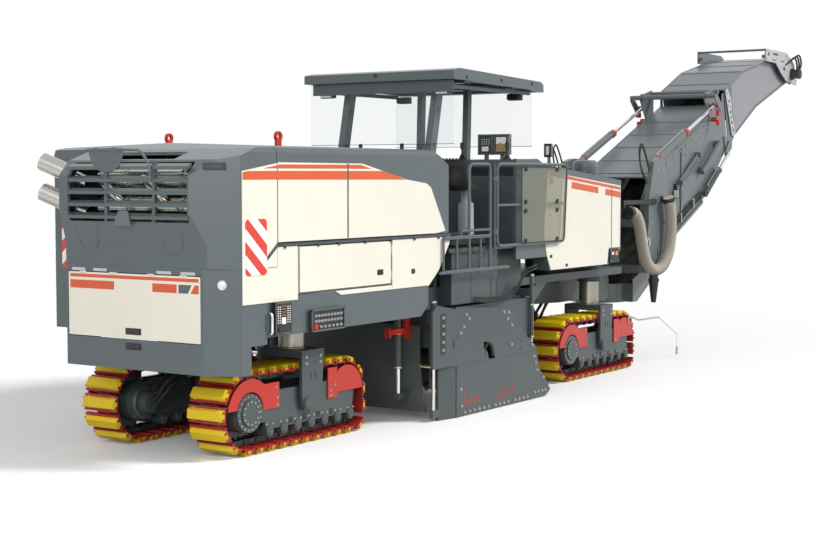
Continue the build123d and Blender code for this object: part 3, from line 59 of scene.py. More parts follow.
# ---- shapes: each is (points, faces), worked out as whole arrays
def unit(vector):
    # a vector divided by its own length
    vector = np.asarray(vector, float)
    return vector / np.linalg.norm(vector)


def gridShape(points, closeU=False, closeV=False, capped=False):
    # points[i, j] is the surface at parameters i and j; a quad joins each point with its next in i and in j
    rows, columns = points.shape[:2]
    number = np.arange(rows * columns).reshape(rows, columns)
    i = np.arange(rows if closeU else rows - 1)
    j = np.arange(columns if closeV else columns - 1)
    a = number[np.ix_(i, j)]
    b = number[np.ix_((i + 1) % rows, j)]
    c = number[np.ix_((i + 1) % rows, (j + 1) % columns)]
    d = number[np.ix_(i, (j + 1) % columns)]
    faces = np.stack([a, b, c, d], -1).reshape(-1, 4).tolist()
    if capped:
        faces += [number[0].tolist()[::-1], number[-1].tolist()]
    return points.reshape(-1, 3), faces


def joined(shapes):
    # several shapes as one, each one's face numbers raised by the points before it
    points, faces, start = [], [], 0
    for shapePoints, shapeFaces in shapes:
        points.append(np.asarray(shapePoints, float))
        faces += [[n + start for n in face] for face in shapeFaces]
        start += len(shapePoints)
    return np.vstack(points), faces


def repeated(shape, places):
    # the shape once for each 4 by 4 place: point times the place's turn, plus its shift
    points, faces = np.asarray(shape[0], float), shape[1]
    places = np.asarray(places, float)
    moved = np.einsum("mij,nj->mni", places[:, :3, :3], points) + places[:, None, :3, 3]
    count = len(points)
    allFaces = [[n + m * count for n in face] for m in range(len(places)) for face in faces]
    return moved.reshape(-1, 3), allFaces


def placeAt(position, along=(1, 0, 0), up=(0, 0, 1)):
    # a place whose X runs along and whose Z leans to up
    along = unit(along)
    side = unit(np.cross(up, along))
    place = np.eye(4)
    place[:3, :3] = np.stack([along, side, np.cross(along, side)], -1)
    place[:3, 3] = position
    return place


def prism(outline, low, high, across="y"):
    # a flat outline, drawn in the other two axes, carried straight from low to high across one axis
    axis = "xyz".index(across)
    sheets = [np.insert(np.asarray(outline, float), axis, level, axis=1) for level in (low, high)]
    return gridShape(np.stack(sheets), closeV=True, capped=True)


def chamferedBox(size, chamfer):
    # a box about the origin whose corners become three points each, so that every edge is a narrow slope
    half = np.asarray(size, float) / 2
    signs = np.array([(x, y, z) for x in (-1, 1) for y in (-1, 1) for z in (-1, 1)], float)
    inner = half - chamfer
    corners = np.stack([signs * np.where(np.eye(3)[axis] > 0, half, inner) for axis in range(3)], 1)
    number = {tuple(sign): i for i, sign in enumerate(signs.astype(int).tolist())}
    faces = []
    for axis in range(3):
        b, c = (axis + 1) % 3, (axis + 2) % 3
        for side in (-1, 1):
            ring = []
            for sb, sc in ((-1, -1), (1, -1), (1, 1), (-1, 1)):
                key = [0, 0, 0]
                key[axis], key[b], key[c] = side, sb, sc
                ring.append(number[tuple(key)] * 3 + axis)
            faces.append(ring)
            for other in (-1, 1):
                edge = []
                for owner, third in ((axis, -1), (axis, 1), (b, 1), (b, -1)):
                    key = [0, 0, 0]
                    key[axis], key[b], key[c] = side, other, third
                    edge.append(number[tuple(key)] * 3 + owner)
                faces.append(edge)
    faces += [[i * 3, i * 3 + 1, i * 3 + 2] for i in range(8)]
    return corners.reshape(-1, 3), faces


def boxAt(low, high, chamfer=0.002):
    # a chamfered box between two corners
    low, high = np.asarray(low, float), np.asarray(high, float)
    points, faces = chamferedBox(high - low, chamfer)
    return points + (low + high) / 2, faces


def film(outlines, face, across="y"):
    # paint or sheet on a face: each outline stands 1.2 mm out of it and reaches 0.5 mm in
    return joined([prism(outline, face - 0.0012, face + 0.0005, across) for outline in outlines])


def barFrame(start, end, bar, near, far, chamfer, across="y"):
    # four bars round the rectangle from start to end, which faces along Y or along X
    (a0, z0), (a1, z1) = start, end
    spans = [(a0, a1, z, z + bar) for z in (z0, z1 - bar)] + [(a, a + bar, z0, z1) for a in (a0, a1 - bar)]
    bars = []
    for low, high, bottom, top in spans:
        if across == "y":
            bars.append(boxAt((low, near, bottom), (high, far, top), chamfer))
        else:
            bars.append(boxAt((near, low, bottom), (far, high, top), chamfer))
    return joined(bars)


def revolved(base, axis, profile, sides):
    # points of a profile of (distance along the axis, radius), at equal angles once round the axis
    axis = unit(axis)
    first = unit(np.cross(axis, (0.31, 0.17, 0.93) if abs(axis[2]) < 0.9 else (1, 0, 0)))
    second = np.cross(axis, first)
    profile = np.asarray(profile, float)
    angle = np.linspace(0, 2 * math.pi, sides, endpoint=False)
    ring = np.cos(angle)[:, None] * first + np.sin(angle)[:, None] * second
    return np.asarray(base, float) + profile[:, 0, None, None] * axis + profile[:, 1, None, None] * ring


def turned(base, axis, profile, sides=24):
    # a solid of revolution, closed at both ends
    return gridShape(revolved(base, axis, profile, sides), closeV=True, capped=True)


def ringShape(base, axis, inner, outer, length, sides=32):
    # a washer: its section, with the outer corners cut, is closed on itself and turned once round the axis
    edge = min(0.003, length / 4)
    section = [(0, inner), (0, outer - edge), (edge, outer), (length - edge, outer), (length, outer - edge),
               (length, inner)]
    return gridShape(revolved(base, axis, section, sides), closeU=True, closeV=True)


def frames(path):
    # a path's tangent and two directions square to it, taken from the axis that the path follows least
    tangent = np.gradient(path, axis=0)
    tangent /= np.linalg.norm(tangent, axis=1)[:, None]
    guide = np.eye(3)[np.argmin(np.abs(tangent).max(0))]
    side = np.cross(tangent, guide)
    side /= np.linalg.norm(side, axis=1)[:, None]
    return tangent, side, np.cross(tangent, side)


def tube(path, radius, sides=12):
    # a circle of the radius, or of one radius a point, carried along the path
    path = np.asarray(path, float)
    tangent, side, up = frames(path)
    angle = np.linspace(0, 2 * math.pi, sides, endpoint=False)
    radius = np.broadcast_to(radius, len(path))[:, None, None]
    ring = np.cos(angle)[None, :, None] * side[:, None] + np.sin(angle)[None, :, None] * up[:, None]
    return gridShape(path[:, None] + radius * ring, closeV=True, capped=True)


def smoothPath(points, steps=8):
    # Catmull-Rom curve: each stretch is a cubic whose ends lean along the chord of their neighbours
    points = np.asarray(points, float)
    padded = np.vstack([2 * points[0] - points[1], points, 2 * points[-1] - points[-2]])
    t = np.linspace(0, 1, steps, endpoint=False)[:, None, None]
    a, b, c, d = padded[:-3], padded[1:-2], padded[2:-1], padded[3:]
    curve = 0.5 * (2 * b + (c - a) * t + (2 * a - 5 * b + 4 * c - d) * t ** 2 +
                   (3 * b - a - 3 * c + d) * t ** 3)
    return np.vstack([curve.transpose(1, 0, 2).reshape(-1, 3), points[-1]])


def roundedPath(points, radius, steps=6):
    # straight runs joined by quadratic bends that start one radius before each corner
    points = np.asarray(points, float)
    path = [points[:1]]
    t = np.linspace(0, 1, steps)[:, None]
    for before, corner, after in zip(points[:-2], points[1:-1], points[2:]):
        start = corner + unit(before - corner) * radius
        end = corner + unit(after - corner) * radius
        path.append((1 - t) ** 2 * start + 2 * t * (1 - t) * corner + t ** 2 * end)
    return np.vstack(path + [points[-1:]])


def mirroredShape(shape):
    # the same shape on the other side: Y changes its sign and each face its turn
    points = np.asarray(shape[0], float) * (1, -1, 1)
    return points, [face[::-1] for face in shape[1]]


def bothSides(shape):
    # the shape and its mirror image as one
    return joined([shape, mirroredShape(shape)])


def boltHead(size):
    # hexagon head on a washer, standing on the XY plane
    washer = turned((0, 0, 0), upward, [(0, size * 0.62), (size * 0.12, size * 0.62),
                                        (size * 0.12, size * 0.3)], 12)
    head = turned((0, 0, size * 0.1), upward, [(0, size * 0.5), (size * 0.36, size * 0.5),
                                               (size * 0.42, size * 0.4)], 6)
    return joined([washer, head])


def boltsAt(points, outward, size):
    # a bolt head at each point, its axis along outward
    helper = (1, 0, 0) if abs(unit(outward)[0]) < 0.9 else (0, 1, 0)
    along = np.cross(helper, outward)
    return repeated(boltHead(size), [placeAt(point, along, outward) for point in points])


def hoses(count, route, radius, steps=8, sides=10):
    # hoses side by side: number i follows the smooth curve through the points of route(i)
    return joined([tube(smoothPath(route(i), steps), radius, sides) for i in range(count)])


def standObject(name, data):
    # an object for the data, in the scene
    made = bpy.data.objects.new(name, data)
    bpy.context.scene.collection.objects.link(made)
    return made


def makePiece(name, shape, body, finish, sharp=35):
    # a mesh object from a shape, moved to the frame, riding on a body when one is given
    points, faces = shape
    mesh = bpy.data.meshes.new(name)
    mesh.from_pydata((np.asarray(points, float) + (drumX, 0, 0)).tolist(), [], faces)
    solid = bmesh.new()
    solid.from_mesh(mesh)
    bmesh.ops.recalc_face_normals(solid, faces=solid.faces)
    solid.to_mesh(mesh)
    solid.free()
    mesh.polygons.foreach_set("use_smooth", np.ones(len(mesh.polygons), bool))
    mesh.set_sharp_from_angle(angle=math.radians(sharp))
    mesh.materials.append(finishes[finish])
    piece = standObject(name, mesh)
    if body:
        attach(piece, body)
    return piece


def makePair(name, shape, body, finish, **settings):
    # one piece that holds the shape on both sides of the machine
    return makePiece(name, bothSides(shape), body, finish, **settings)


def onBothBodies(name, shape, part, finish):
    # the same shape on the part's right body and, mirrored, on its left one
    makePiece(name + "Right", shape, "right_" + part, finish)
    makePiece(name + "Left", mirroredShape(shape), "left_" + part, finish)


# ---- finishes
def linearColour(code):
    # sRGB hex to linear light, with alpha 1
    values = np.array([int(code[i:i + 2], 16) for i in (1, 3, 5)]) / 255
    linear = np.where(values <= 0.04045, values / 12.92, ((values + 0.055) / 1.055) ** 2.4)
    return (*linear.tolist(), 1.0)


def addNode(material, kind, inputs=None, **settings):
    # one shader node with its settings; an input that is a pair (node, output) is linked, any other is set
    tree = material.node_tree
    node = tree.nodes.new("ShaderNode" + kind)
    for key, value in settings.items():
        setattr(node, key, value)
    for key, value in (inputs or {}).items():
        if isinstance(value, tuple) and len(value) == 2 and hasattr(value[0], "outputs"):
            tree.links.new(value[0].outputs[value[1]], node.inputs[key])
        else:
            node.inputs[key].default_value = value
    return node


def newMaterial(name, colour):
    material = bpy.data.materials.new(name)
    material.use_nodes = True
    material.node_tree.nodes.clear()
    material.diffuse_color = linearColour(colour)
    return material


def setSurface(material, shader):
    addNode(material, "OutputMaterial", {"Surface": (shader, 0)})
    return material


def setPrincipled(material, inputs):
    return setSurface(material, addNode(material, "BsdfPrincipled", inputs))


def blendColour(material, factor, first, second):
    return addNode(material, "Mix", {0: factor, 6: first, 7: second}, data_type="RGBA")


def noise(material, place, scale, detail, roughness=0.5):
    return addNode(material, "TexNoise", {"Vector": place, "Scale": scale, "Detail": detail,
                                          "Roughness": roughness})


def mapRange(material, value, low, high, lowest=0.0, highest=1.0):
    # lowest up to low, highest from high on, straight between
    return addNode(material, "MapRange", {"Value": value, "From Min": low, "From Max": high, "To Min": lowest,
                                          "To Max": highest})


def multiply(material, first, second):
    return addNode(material, "Math", {0: first, 1: second}, operation="MULTIPLY")


def paintedSteel(name, colour, roughness=0.42, dust=0.35, chips=0.25, underneath="#8a8f92", edge=0.004,
                 coat=0.2):
    # two-pack machine paint sprayed on steel: soft gloss, a faint cloudiness, road dust that settles on level
    # faces and low down, and small chips where an edge is knocked
    material = newMaterial(name, colour)
    place = addNode(material, "TexCoord")
    shape = addNode(material, "NewGeometry")
    cloud = noise(material, (place, "Object"), 1.6, 4.0, 0.6)
    grain = noise(material, (place, "Object"), 34.0, 6.0, 0.7)
    rounded = addNode(material, "Bevel", {"Radius": edge}, samples=4)
    wide = addNode(material, "Bevel", {"Radius": edge * 2.2}, samples=4)
    match = addNode(material, "VectorMath", {0: (wide, "Normal"), 1: (shape, "Normal")},
                    operation="DOT_PRODUCT")
    knocked = mapRange(material, (match, "Value"), 0.97, 0.80)
    spots = mapRange(material, (grain, "Fac"), 0.60, 0.66)
    chipped = multiply(material, (knocked, 0), (spots, 0))
    chipMask = multiply(material, (chipped, 0), chips * 2)
    parts = addNode(material, "SeparateXYZ", {0: (shape, "Normal")})
    level = mapRange(material, (parts, "Z"), 0.55, 0.98)
    position = addNode(material, "SeparateXYZ", {0: (place, "Object")})
    low = mapRange(material, (position, "Z"), 1.15, 0.1)
    settled = addNode(material, "Math", {0: (level, 0), 1: (low, 0)}, operation="MAXIMUM")
    patchy = mapRange(material, (cloud, "Fac"), 0.3, 0.75, 0.35, 1.0)
    dusty = multiply(material, (settled, 0), (patchy, 0))
    dustMask = multiply(material, (dusty, 0), dust)
    deeper = [c * 0.86 for c in linearColour(colour)[:3]] + [1]
    tone = blendColour(material, (cloud, "Fac"), linearColour(colour), deeper)
    withDust = blendColour(material, (dustMask, 0), (tone, 2), linearColour("#a9a69c"))
    final = blendColour(material, (chipMask, 0), (withDust, 2), linearColour(underneath))
    rough = mapRange(material, (dustMask, 0), 0, 1, roughness, 0.85)
    bump = addNode(material, "Bump", {"Strength": 0.06, "Distance": 0.002, "Height": (grain, "Fac"),
                                                "Normal": (rounded, "Normal")})
    return setPrincipled(material, {"Base Color": (final, 2), "Roughness": (rough, 0), "Normal": (bump, 0),
                                    "Coat Weight": coat, "Coat Roughness": 0.2})


def bareMetal(name, colour, roughness=0.28, streak=(1, 1, 40), stain="#5b5148", stainAmount=0.2):
    # ground or polished metal: full metallic, fine lines the way it was worked, a little staining
    material = newMaterial(name, colour)
    place = addNode(material, "TexCoord")
    stretched = addNode(material, "Mapping", {"Vector": (place, "Object"), "Scale": streak})
    lines = noise(material, (stretched, 0), 9.0, 5.0)
    patches = noise(material, (place, "Object"), 7.0, 5.0)
    rounded = addNode(material, "Bevel", {"Radius": 0.003}, samples=4)
    stained = mapRange(material, (patches, "Fac"), 0.5, 0.75)
    mask = multiply(material, (stained, 0), stainAmount)
    final = blendColour(material, (mask, 0), linearColour(colour), linearColour(stain))
    rough = mapRange(material, (lines, "Fac"), 0.3, 0.7, roughness * 0.75, roughness * 1.4)
    bump = addNode(material, "Bump", {"Strength": 0.05, "Distance": 0.001, "Height": (lines, "Fac"),
                                                "Normal": (rounded, "Normal")})
    return setPrincipled(material, {"Base Color": (final, 2), "Roughness": (rough, 0), "Normal": (bump, 0),
                                    "Metallic": 1.0})


def mouldedRubber(name, colour, roughness=0.7, scale=60.0, depth=0.15, dust=0.3):
    # moulded rubber or plastic: dull, a fine pebbled skin, paler where dust has rubbed in
    material = newMaterial(name, colour)
    place = addNode(material, "TexCoord")
    pebble = addNode(material, "TexVoronoi", {"Vector": (place, "Object"), "Scale": scale * 4})
    cloud = noise(material, (place, "Object"), 5.0, 6.0)
    dusty = mapRange(material, (cloud, "Fac"), 0.42, 0.8)
    mask = multiply(material, (dusty, 0), dust)
    final = blendColour(material, (mask, 0), linearColour(colour), linearColour("#8d8a80"))
    rough = mapRange(material, (cloud, "Fac"), 0, 1, roughness - 0.12, min(roughness + 0.15, 1.0))
    bump = addNode(material, "Bump", {"Strength": depth, "Distance": 0.001,
                                                "Height": (pebble, "Distance")})
    return setPrincipled(material, {"Base Color": (final, 2), "Roughness": (rough, 0), "Normal": (bump, 0)})


def clearSheet(name, colour, through="#f6f8f8", haze=0.05):
    # polycarbonate sheet: thin, almost clear, with a share of haze that grows where it is seen at a slant
    material = newMaterial(name, colour)
    place = addNode(material, "TexCoord")
    smear = noise(material, (place, "Object"), 3.0, 7.0)
    rough = mapRange(material, (smear, "Fac"), 0, 1, 0.03, 0.12)
    glossy = addNode(material, "BsdfPrincipled", {"Base Color": linearColour(colour),
                                                            "Roughness": (rough, 0), "IOR": 1.5})
    clearPart = addNode(material, "BsdfTransparent", {"Color": linearColour(through)})
    edge = addNode(material, "Fresnel", {"IOR": 1.3})
    share = mapRange(material, (edge, 0), 0, 1, haze, 0.5)
    both = addNode(material, "MixShader", {0: (share, 0), 1: (clearPart, 0), 2: (glossy, 0)})
    return setSurface(material, both)


def stripedBoard(name):
    # retro-reflective sheet in slanted red and white bars 112 mm apart, a fine cell under its clear face
    material = newMaterial(name, "#c8321f")
    place = addNode(material, "TexCoord")
    slant = addNode(material, "VectorMath", {0: (place, "Object"), 1: (0.89, 0.89, 1.0)},
                    operation="DOT_PRODUCT")
    turns = addNode(material, "Math", {0: (slant, "Value"), 1: 1 / 0.225, 2: 5.611 / 0.225},
                    operation="MULTIPLY_ADD")
    part = addNode(material, "Math", {0: (turns, 0)}, operation="FRACT")
    bar = addNode(material, "Math", {0: (part, 0), 1: 0.5}, operation="GREATER_THAN")
    cells = addNode(material, "TexVoronoi", {"Vector": (place, "Object"), "Scale": 180.0})
    final = blendColour(material, (bar, 0), linearColour("#d8301c"), linearColour("#f4f2ee"))
    bump = addNode(material, "Bump", {"Strength": 0.1, "Distance": 0.001, "Height": (cells, "Distance")})
    return setPrincipled(material, {"Base Color": (final, 2), "Roughness": 0.3, "Normal": (bump, 0),
                                    "Coat Weight": 0.4})


finishes = {
    "blueGrey": paintedSteel("blueGreyPaint", "#525c60", 0.40, 0.06, 0.15, coat=0.3),
    "cream": paintedSteel("creamPaint", "#f3efe0", 0.32, 0.02, 0.05, "#b9b4a4"),
    "darkFrame": paintedSteel("darkFramePaint", "#434c4f", 0.46, 0.08, 0.3, "#9a9a98", coat=0.1),
    "boom": paintedSteel("boomPaint", "#636c70", 0.42, 0.06, 0.2, coat=0.3),
    "red": paintedSteel("redPaint", "#c22208", 0.40, 0.04, 0.3, "#7a7470"),
    "orange": paintedSteel("orangePaint", "#dd5a24", 0.34, 0.02, 0.05, "#f3efe2"),
    "white": paintedSteel("whitePaint", "#f7f5ef", 0.34, 0.02, 0.05, "#cfcabc"),
    "shoe": paintedSteel("trackShoeSteel", "#ac1d08", 0.50, 0.06, 0.5, "#77706a"),
    "pad": mouldedRubber("polyurethanePad", "#e4c404", 0.50, 30.0, 0.1, 0.12),
    "castIron": paintedSteel("castIronBlock", "#3d4143", 0.6, 0.2, 0.3),
    "drumSteel": bareMetal("wornDrumSteel", "#6e6862", 0.45, (1, 1, 6), "#54331d", 0.8),
    "stainless": bareMetal("stainlessSteel", "#b3b1ab", 0.20, (6, 6, 1), "#7d776c", 0.08),
    "chrome": bareMetal("hardChrome", "#dededf", 0.12, (1, 1, 30), "#8b8b88", 0.08),
    "rubber": mouldedRubber("blackRubber", "#111111", 0.62, 50.0, 0.2, 0.25),
    "belt": mouldedRubber("beltRubber", "#1d1d1c", 0.72, 40.0, 0.3, 0.5),
    "plastic": mouldedRubber("mouldedPlastic", "#1b1d1e", 0.48, 120.0, 0.1, 0.12),
    "clear": clearSheet("clearPolycarbonate", "#dfe8e8", "#fbfcfc", 0.02),
    "board": stripedBoard("reflectiveBoard"),
    "tinted": clearSheet("smokedPolycarbonate", "#c4c5bf", "#f0f0ea", 0.05),
    "satin": bareMetal("satinChrome", "#a3a196", 0.34, (1, 1, 30), "#7d7a70", 0.1),
    "darkSteel": bareMetal("forgedSteel", "#5b5c5d", 0.5, (1, 1, 3), "#3a2f28", 0.5),
    "zinc": bareMetal("zincPlatedSteel", "#b9bab8", 0.34, (1, 1, 1), "#77736b", 0.2),
    "paleHose": mouldedRubber("spiralHoseFabric", "#b3aca1", 0.75, 80.0, 0.2, 0.35),
    "lampGlass": mouldedRubber("frostedLampLens", "#eef1f2", 0.18, 90.0, 0.05, 0.0),
    "amber": mouldedRubber("amberLampLens", "#e08a1c", 0.2, 90.0, 0.05, 0.0),
    "display": mouldedRubber("displayGlass", "#0d1418", 0.1, 30.0, 0.0, 0.1),
    "paleGrey": paintedSteel("lightGreyPaint", "#c3c4c8", 0.42, 0.04, 0.2, coat=0.1),
    "midGrey": paintedSteel("panelGreyPaint", "#96949a", 0.42, 0.04, 0.2, coat=0.1),
    "sand": paintedSteel("screenSandPrint", "#b08a5c", 0.30, 0.0, 0.0),
}

# CAD node name starts and the finish each takes
nodeFinishes = [("air_cleaner", "boom"), ("boarding_ladders", "blueGrey"), ("boom_fold_barrels", "darkFrame"),
                ("boom_fold_rods", "chrome"), ("boom_lift_barrels", "boom"), ("boom_lift_rods", "chrome"),
                ("canopy_posts", "blueGrey"), ("canopy_roof", "blueGrey"), ("chassis_frame", "darkFrame"),
                ("drum_housing", "darkFrame"), ("dust_hose_fittings", "plastic"), ("dust_hose", "rubber"),
                ("engine_block", "castIron"), ("engine_hood", "blueGrey"), ("exhaust", "stainless"),
                ("front_body", "blueGrey"), ("gate_screen", "tinted"), ("gate_", "blueGrey"),
                ("guide_bar", "stainless"), ("hood_side_sheets", "cream"), ("lift_barrels", "darkFrame"),
                ("lifting_eyes", "red"), ("lower_belt", "belt"), ("lower_boom", "boom"),
                ("lower_sides", "blueGrey"), ("milling_drum", "drumSteel"), ("operator_console", "blueGrey"),
                ("platform", "darkFrame"), ("rear_door", "cream"), ("rear_lower_walls", "blueGrey"),
                ("rear_module", "blueGrey"), ("receiving_trough", "darkFrame"),
                ("scraper_blade", "darkFrame"), ("service_boxes", "plastic"), ("service_door", "cream"),
                ("side_plate", "darkFrame"), ("side_sheets", "cream"), ("slew_yoke", "boom"),
                ("upper_belt", "belt"), ("upper_boom", "boom"), ("warning_boards", "board"),
                ("windscreens", "clear"), ("track_frame", "darkFrame"), ("track_guards", "red"),
                ("track_", "shoe")]
for nodeName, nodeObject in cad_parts.items():
    finishName = next(finish for start, finish in nodeFinishes if nodeName.startswith(start))
    nodeObject.data.materials.clear()
    nodeObject.data.materials.append(finishes[finishName])
print("finishes on the CAD nodes")

# ---- crawler tracks: pads on shoes on a chain, remade over the CAD loops
trackSizes = {"pitch": 0.172, "pad": (0.116, 0.425, 0.052), "shoe": (0.158, 0.425, 0.026), "chain": 0.062,
              "linkY": 0.062, "wheels": [(-0.890, 0.400, 0.400), (0.780, 0.170, 0.170),
                                         (0.600, 0.430, 0.350)]}
crawlers = {"rear_right": (-2.950, -0.660), "rear_left": (-2.950, 0.660),
            "front_right": (3.220, -0.710), "front_left": (3.220, 0.710)}


def trackPlaces(depth):
    # the loop lies on circles round its wheels, wheel to wheel along their outer tangent: at angle a the
    # point is centre + (reach - depth) * (cos a, sin a). One place a shoe, X along the run and Z outwards
    wheels = np.array(trackSizes["wheels"])
    following = np.roll(wheels, -1, axis=0)
    step = following[:, :2] - wheels[:, :2]
    span = np.hypot(step[:, 0], step[:, 1])
    normal = np.arctan2(step[:, 1], step[:, 0]) - np.arccos((wheels[:, 2] - following[:, 2]) / span)
    turn = (np.roll(normal, -1) - normal) % (2 * math.pi)
    angle = (normal[:, None] + turn[:, None] * np.linspace(0, 1, 60)).ravel()
    centre = np.repeat(following, 60, axis=0)
    point = centre[:, :2] + (centre[:, 2:] - depth) * np.stack([np.cos(angle), np.sin(angle)], -1)
    point = np.vstack([point[-1:], point])
    angle = np.unwrap(np.concatenate([angle[-1:] - 2 * math.pi, angle]))
    distance = np.concatenate([[0], np.cumsum(np.hypot(*np.diff(point, axis=0).T))])
    count = round(distance[-1] / trackSizes["pitch"])
    at = np.arange(count) * distance[-1] / count
    a = np.interp(at, distance, angle)
    places = np.tile(np.eye(4), (count, 1, 1))
    places[:, :3, 0] = np.stack([-np.sin(a), 0 * a, np.cos(a)], -1)
    places[:, :3, 1] = toRight
    places[:, :3, 2] = np.stack([np.cos(a), 0 * a, np.sin(a)], -1)
    places[:, 0, 3] = np.interp(at, distance, point[:, 0])
    places[:, 2, 3] = np.interp(at, distance, point[:, 1])
    return places


def padShape():
    # block whose sides lean in by 16 mm and whose ends lean in by 20 mm from foot to tread
    length, width, height = trackSizes["pad"]
    points, faces = chamferedBox((length, width, height), 0.005)
    share = (points[:, 2:] + height / 2) / height
    points = points * np.hstack([1 - share * 0.032 / length, 1 - share * 0.04 / width, share * 0 + 1])
    return points + (0, 0, trackSizes["shoe"][2] + height / 2), faces


def shoeShape():
    # plate with a lip down each edge, and the claws that hold the pad's ends
    length, width, height = trackSizes["shoe"]
    half = width / 2
    parts = [boxAt((-length / 2, -half, height - 0.014), (length / 2, half, height), 0.003)]
    for x in (-length / 2 + 0.008, length / 2 - 0.008):
        parts.append(boxAt((x - 0.008, -half, 0.0), (x + 0.008, half, height + 0.010), 0.003))
    for x in (-0.036, 0.036):
        for y in (-half, half):
            parts.append(boxAt((x - 0.013, y - 0.003, height - 0.012), (x + 0.013, y + 0.003, height + 0.030),
                               0.002))
    return joined(parts)


def chainShape():
    # two link plates with rounded ends, and the bush across them
    half, z = trackSizes["pitch"] / 2 + 0.012, -trackSizes["chain"] / 2
    outline = [(-half, z + 0.012), (-half + 0.02, z + 0.031), (half - 0.02, z + 0.031), (half, z + 0.012),
               (half, z - 0.012), (half - 0.02, z - 0.030), (0.03, z - 0.022), (-0.03, z - 0.022),
               (-half + 0.02, z - 0.030), (-half, z - 0.012)]
    parts = [prism(outline, y - 0.012, y + 0.012) for y in (-trackSizes["linkY"], trackSizes["linkY"])]
    parts.append(turned((half - 0.012, -0.088, z), (0, 1, 0), [(0, 0.020), (0.176, 0.020)], 8))
    return joined(parts)


def linkBolts():
    # two rows of nuts through each shoe
    points = [(x, y, trackSizes["shoe"][2] - 0.001) for x in (-0.055, 0.055) for y in (-0.155, 0.155)]
    return boltsAt(points, upward, 0.018)


shoePlaces = trackPlaces(trackSizes["pad"][2] + trackSizes["shoe"][2])
trackParts = {"Pads": (padShape(), "pad"), "Shoes": (shoeShape(), "shoe"),
              "Chain": (chainShape(), "darkSteel"), "Nuts": (linkBolts(), "zinc")}
for crawler, (columnX, columnY) in crawlers.items():
    for part, (shape, finish) in trackParts.items():
        points, faces = repeated(shape, shoePlaces)
        piece = makePiece(crawler + part, (points + (columnX, columnY, 0), faces), "crawler_" + crawler,
                          finish)
        if part == "Pads":
            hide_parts("track_" + crawler)
print("tracks")

# ---- what is bolted on the crawler frames
crawlerSizes = {"side": 0.2065, "hub": (-0.890, 0.400), "hubFace": 0.2325, "firstRoller": -0.602,
                "rollerStep": 0.212, "rollers": 7, "cheekFace": 0.2605, "sleeveTop": 1.209}


def circlePoints(centre, radius, count, start=0.0):
    # count points on a circle that faces along Y
    angle = start + np.arange(count) * 2 * math.pi / count
    return np.stack([centre[0] + radius * np.cos(angle), np.full(count, centre[1]),
                     centre[2] + radius * np.sin(angle)], -1)


def crawlerBolts():
    # on the hub cover and its flange, along the frame, on the guards and on the cheek
    hubX, hubZ = crawlerSizes["hub"]
    side, cheek = crawlerSizes["side"], crawlerSizes["cheekFace"]
    first, step, count = (crawlerSizes[key] for key in ("firstRoller", "rollerStep", "rollers"))
    x = first + step * np.arange(count)
    frameRow = np.concatenate([np.stack([x + shift, np.full(count, -side), np.full(count, 0.262)], -1)
                               for shift in (-0.045, 0.045)])
    guardPoints = [(-0.52, -0.2205, 0.60), (-0.50, -0.2205, 0.50), (-0.50, -0.2205, 0.435),
                   (0.33, -0.2205, 0.47), (0.40, -0.2205, 0.52), (0.33, -0.2205, 0.42)]
    cheekPoints = [(-0.11, -cheek, 0.84), (0.11, -cheek, 0.84), (-0.11, -cheek, 0.78), (0.11, -cheek, 0.78)]
    return joined([
        boltsAt(circlePoints((hubX, -crawlerSizes["hubFace"], hubZ), 0.105, 12), toRight, 0.017),
        boltsAt(circlePoints((hubX, -0.2165, hubZ), 0.155, 18), toRight, 0.015),
        boltsAt(frameRow, toRight, 0.020),
        boltsAt(guardPoints, toRight, 0.022),
        boltsAt(cheekPoints, toRight, 0.026),
    ])


def crawlerCastings():
    # roller caps, the swivel axle's cover, the drive motor and its guard on the inside, sprocket teeth
    hubX, hubZ = crawlerSizes["hub"]
    side = crawlerSizes["side"]
    first, step, count = (crawlerSizes[key] for key in ("firstRoller", "rollerStep", "rollers"))
    cap = [(0, 0.054), (0.010, 0.054), (0.016, 0.038), (0.021, 0.034), (0.023, 0.018), (0.019, 0.012)]
    parts = []
    for out in (-1, 1):
        rollerCap = turned((0, 0, 0), (0, out, 0), cap, 18)
        places = [placeAt((first + step * i, out * side, 0.200)) for i in range(count)]
        parts.append(repeated(rollerCap, places))
    parts.append(turned((-0.085, -crawlerSizes["cheekFace"], 0.40), toRight,
                        [(0, 0.062), (0.012, 0.062), (0.018, 0.052), (0.018, 0.020)], 24))
    motor = [(0, 0.165), (0.045, 0.165), (0.060, 0.150), (0.060, 0.105), (0.120, 0.100), (0.130, 0.085)]
    parts.append(turned((hubX, side - 0.01, hubZ), (0, 1, 0), motor, 32))
    guard = [(-1.02, 0.26), (-0.98, 0.52), (-0.80, 0.62), (-0.30, 0.60), (-0.22, 0.50), (-0.24, 0.27)]
    parts.append(prism(guard, side - 0.002, side + 0.022))
    teeth = 22
    angle = np.arange(teeth * 4) * 2 * math.pi / (teeth * 4)
    reach = np.tile([0.238, 0.238, 0.262, 0.262], teeth)
    outline = np.stack([hubX + reach * np.cos(angle), hubZ + reach * np.sin(angle)], -1)
    parts.append(prism(outline, -0.032, 0.032))
    return joined(parts)


def crawlerPocketShade():
    # painted shade: flat dark films stand for the shade in the recesses over the rollers and in two slot
    # openings in the cheek
    side, cheek = crawlerSizes["side"], crawlerSizes["cheekFace"]
    first, step = crawlerSizes["firstRoller"], crawlerSizes["rollerStep"]
    parts = [boxAt((first + step * (i + 0.5) - 0.032, -side - 0.0015, 0.232),
                   (first + step * (i + 0.5) + 0.032, -side + 0.002, 0.290), 0.0005) for i in range(1, 5)]
    for x in (-0.035, 0.035):
        parts.append(boxAt((x - 0.009, -cheek - 0.0015, 0.62), (x + 0.009, -cheek + 0.002, 0.69), 0.0005))
    return joined(parts)


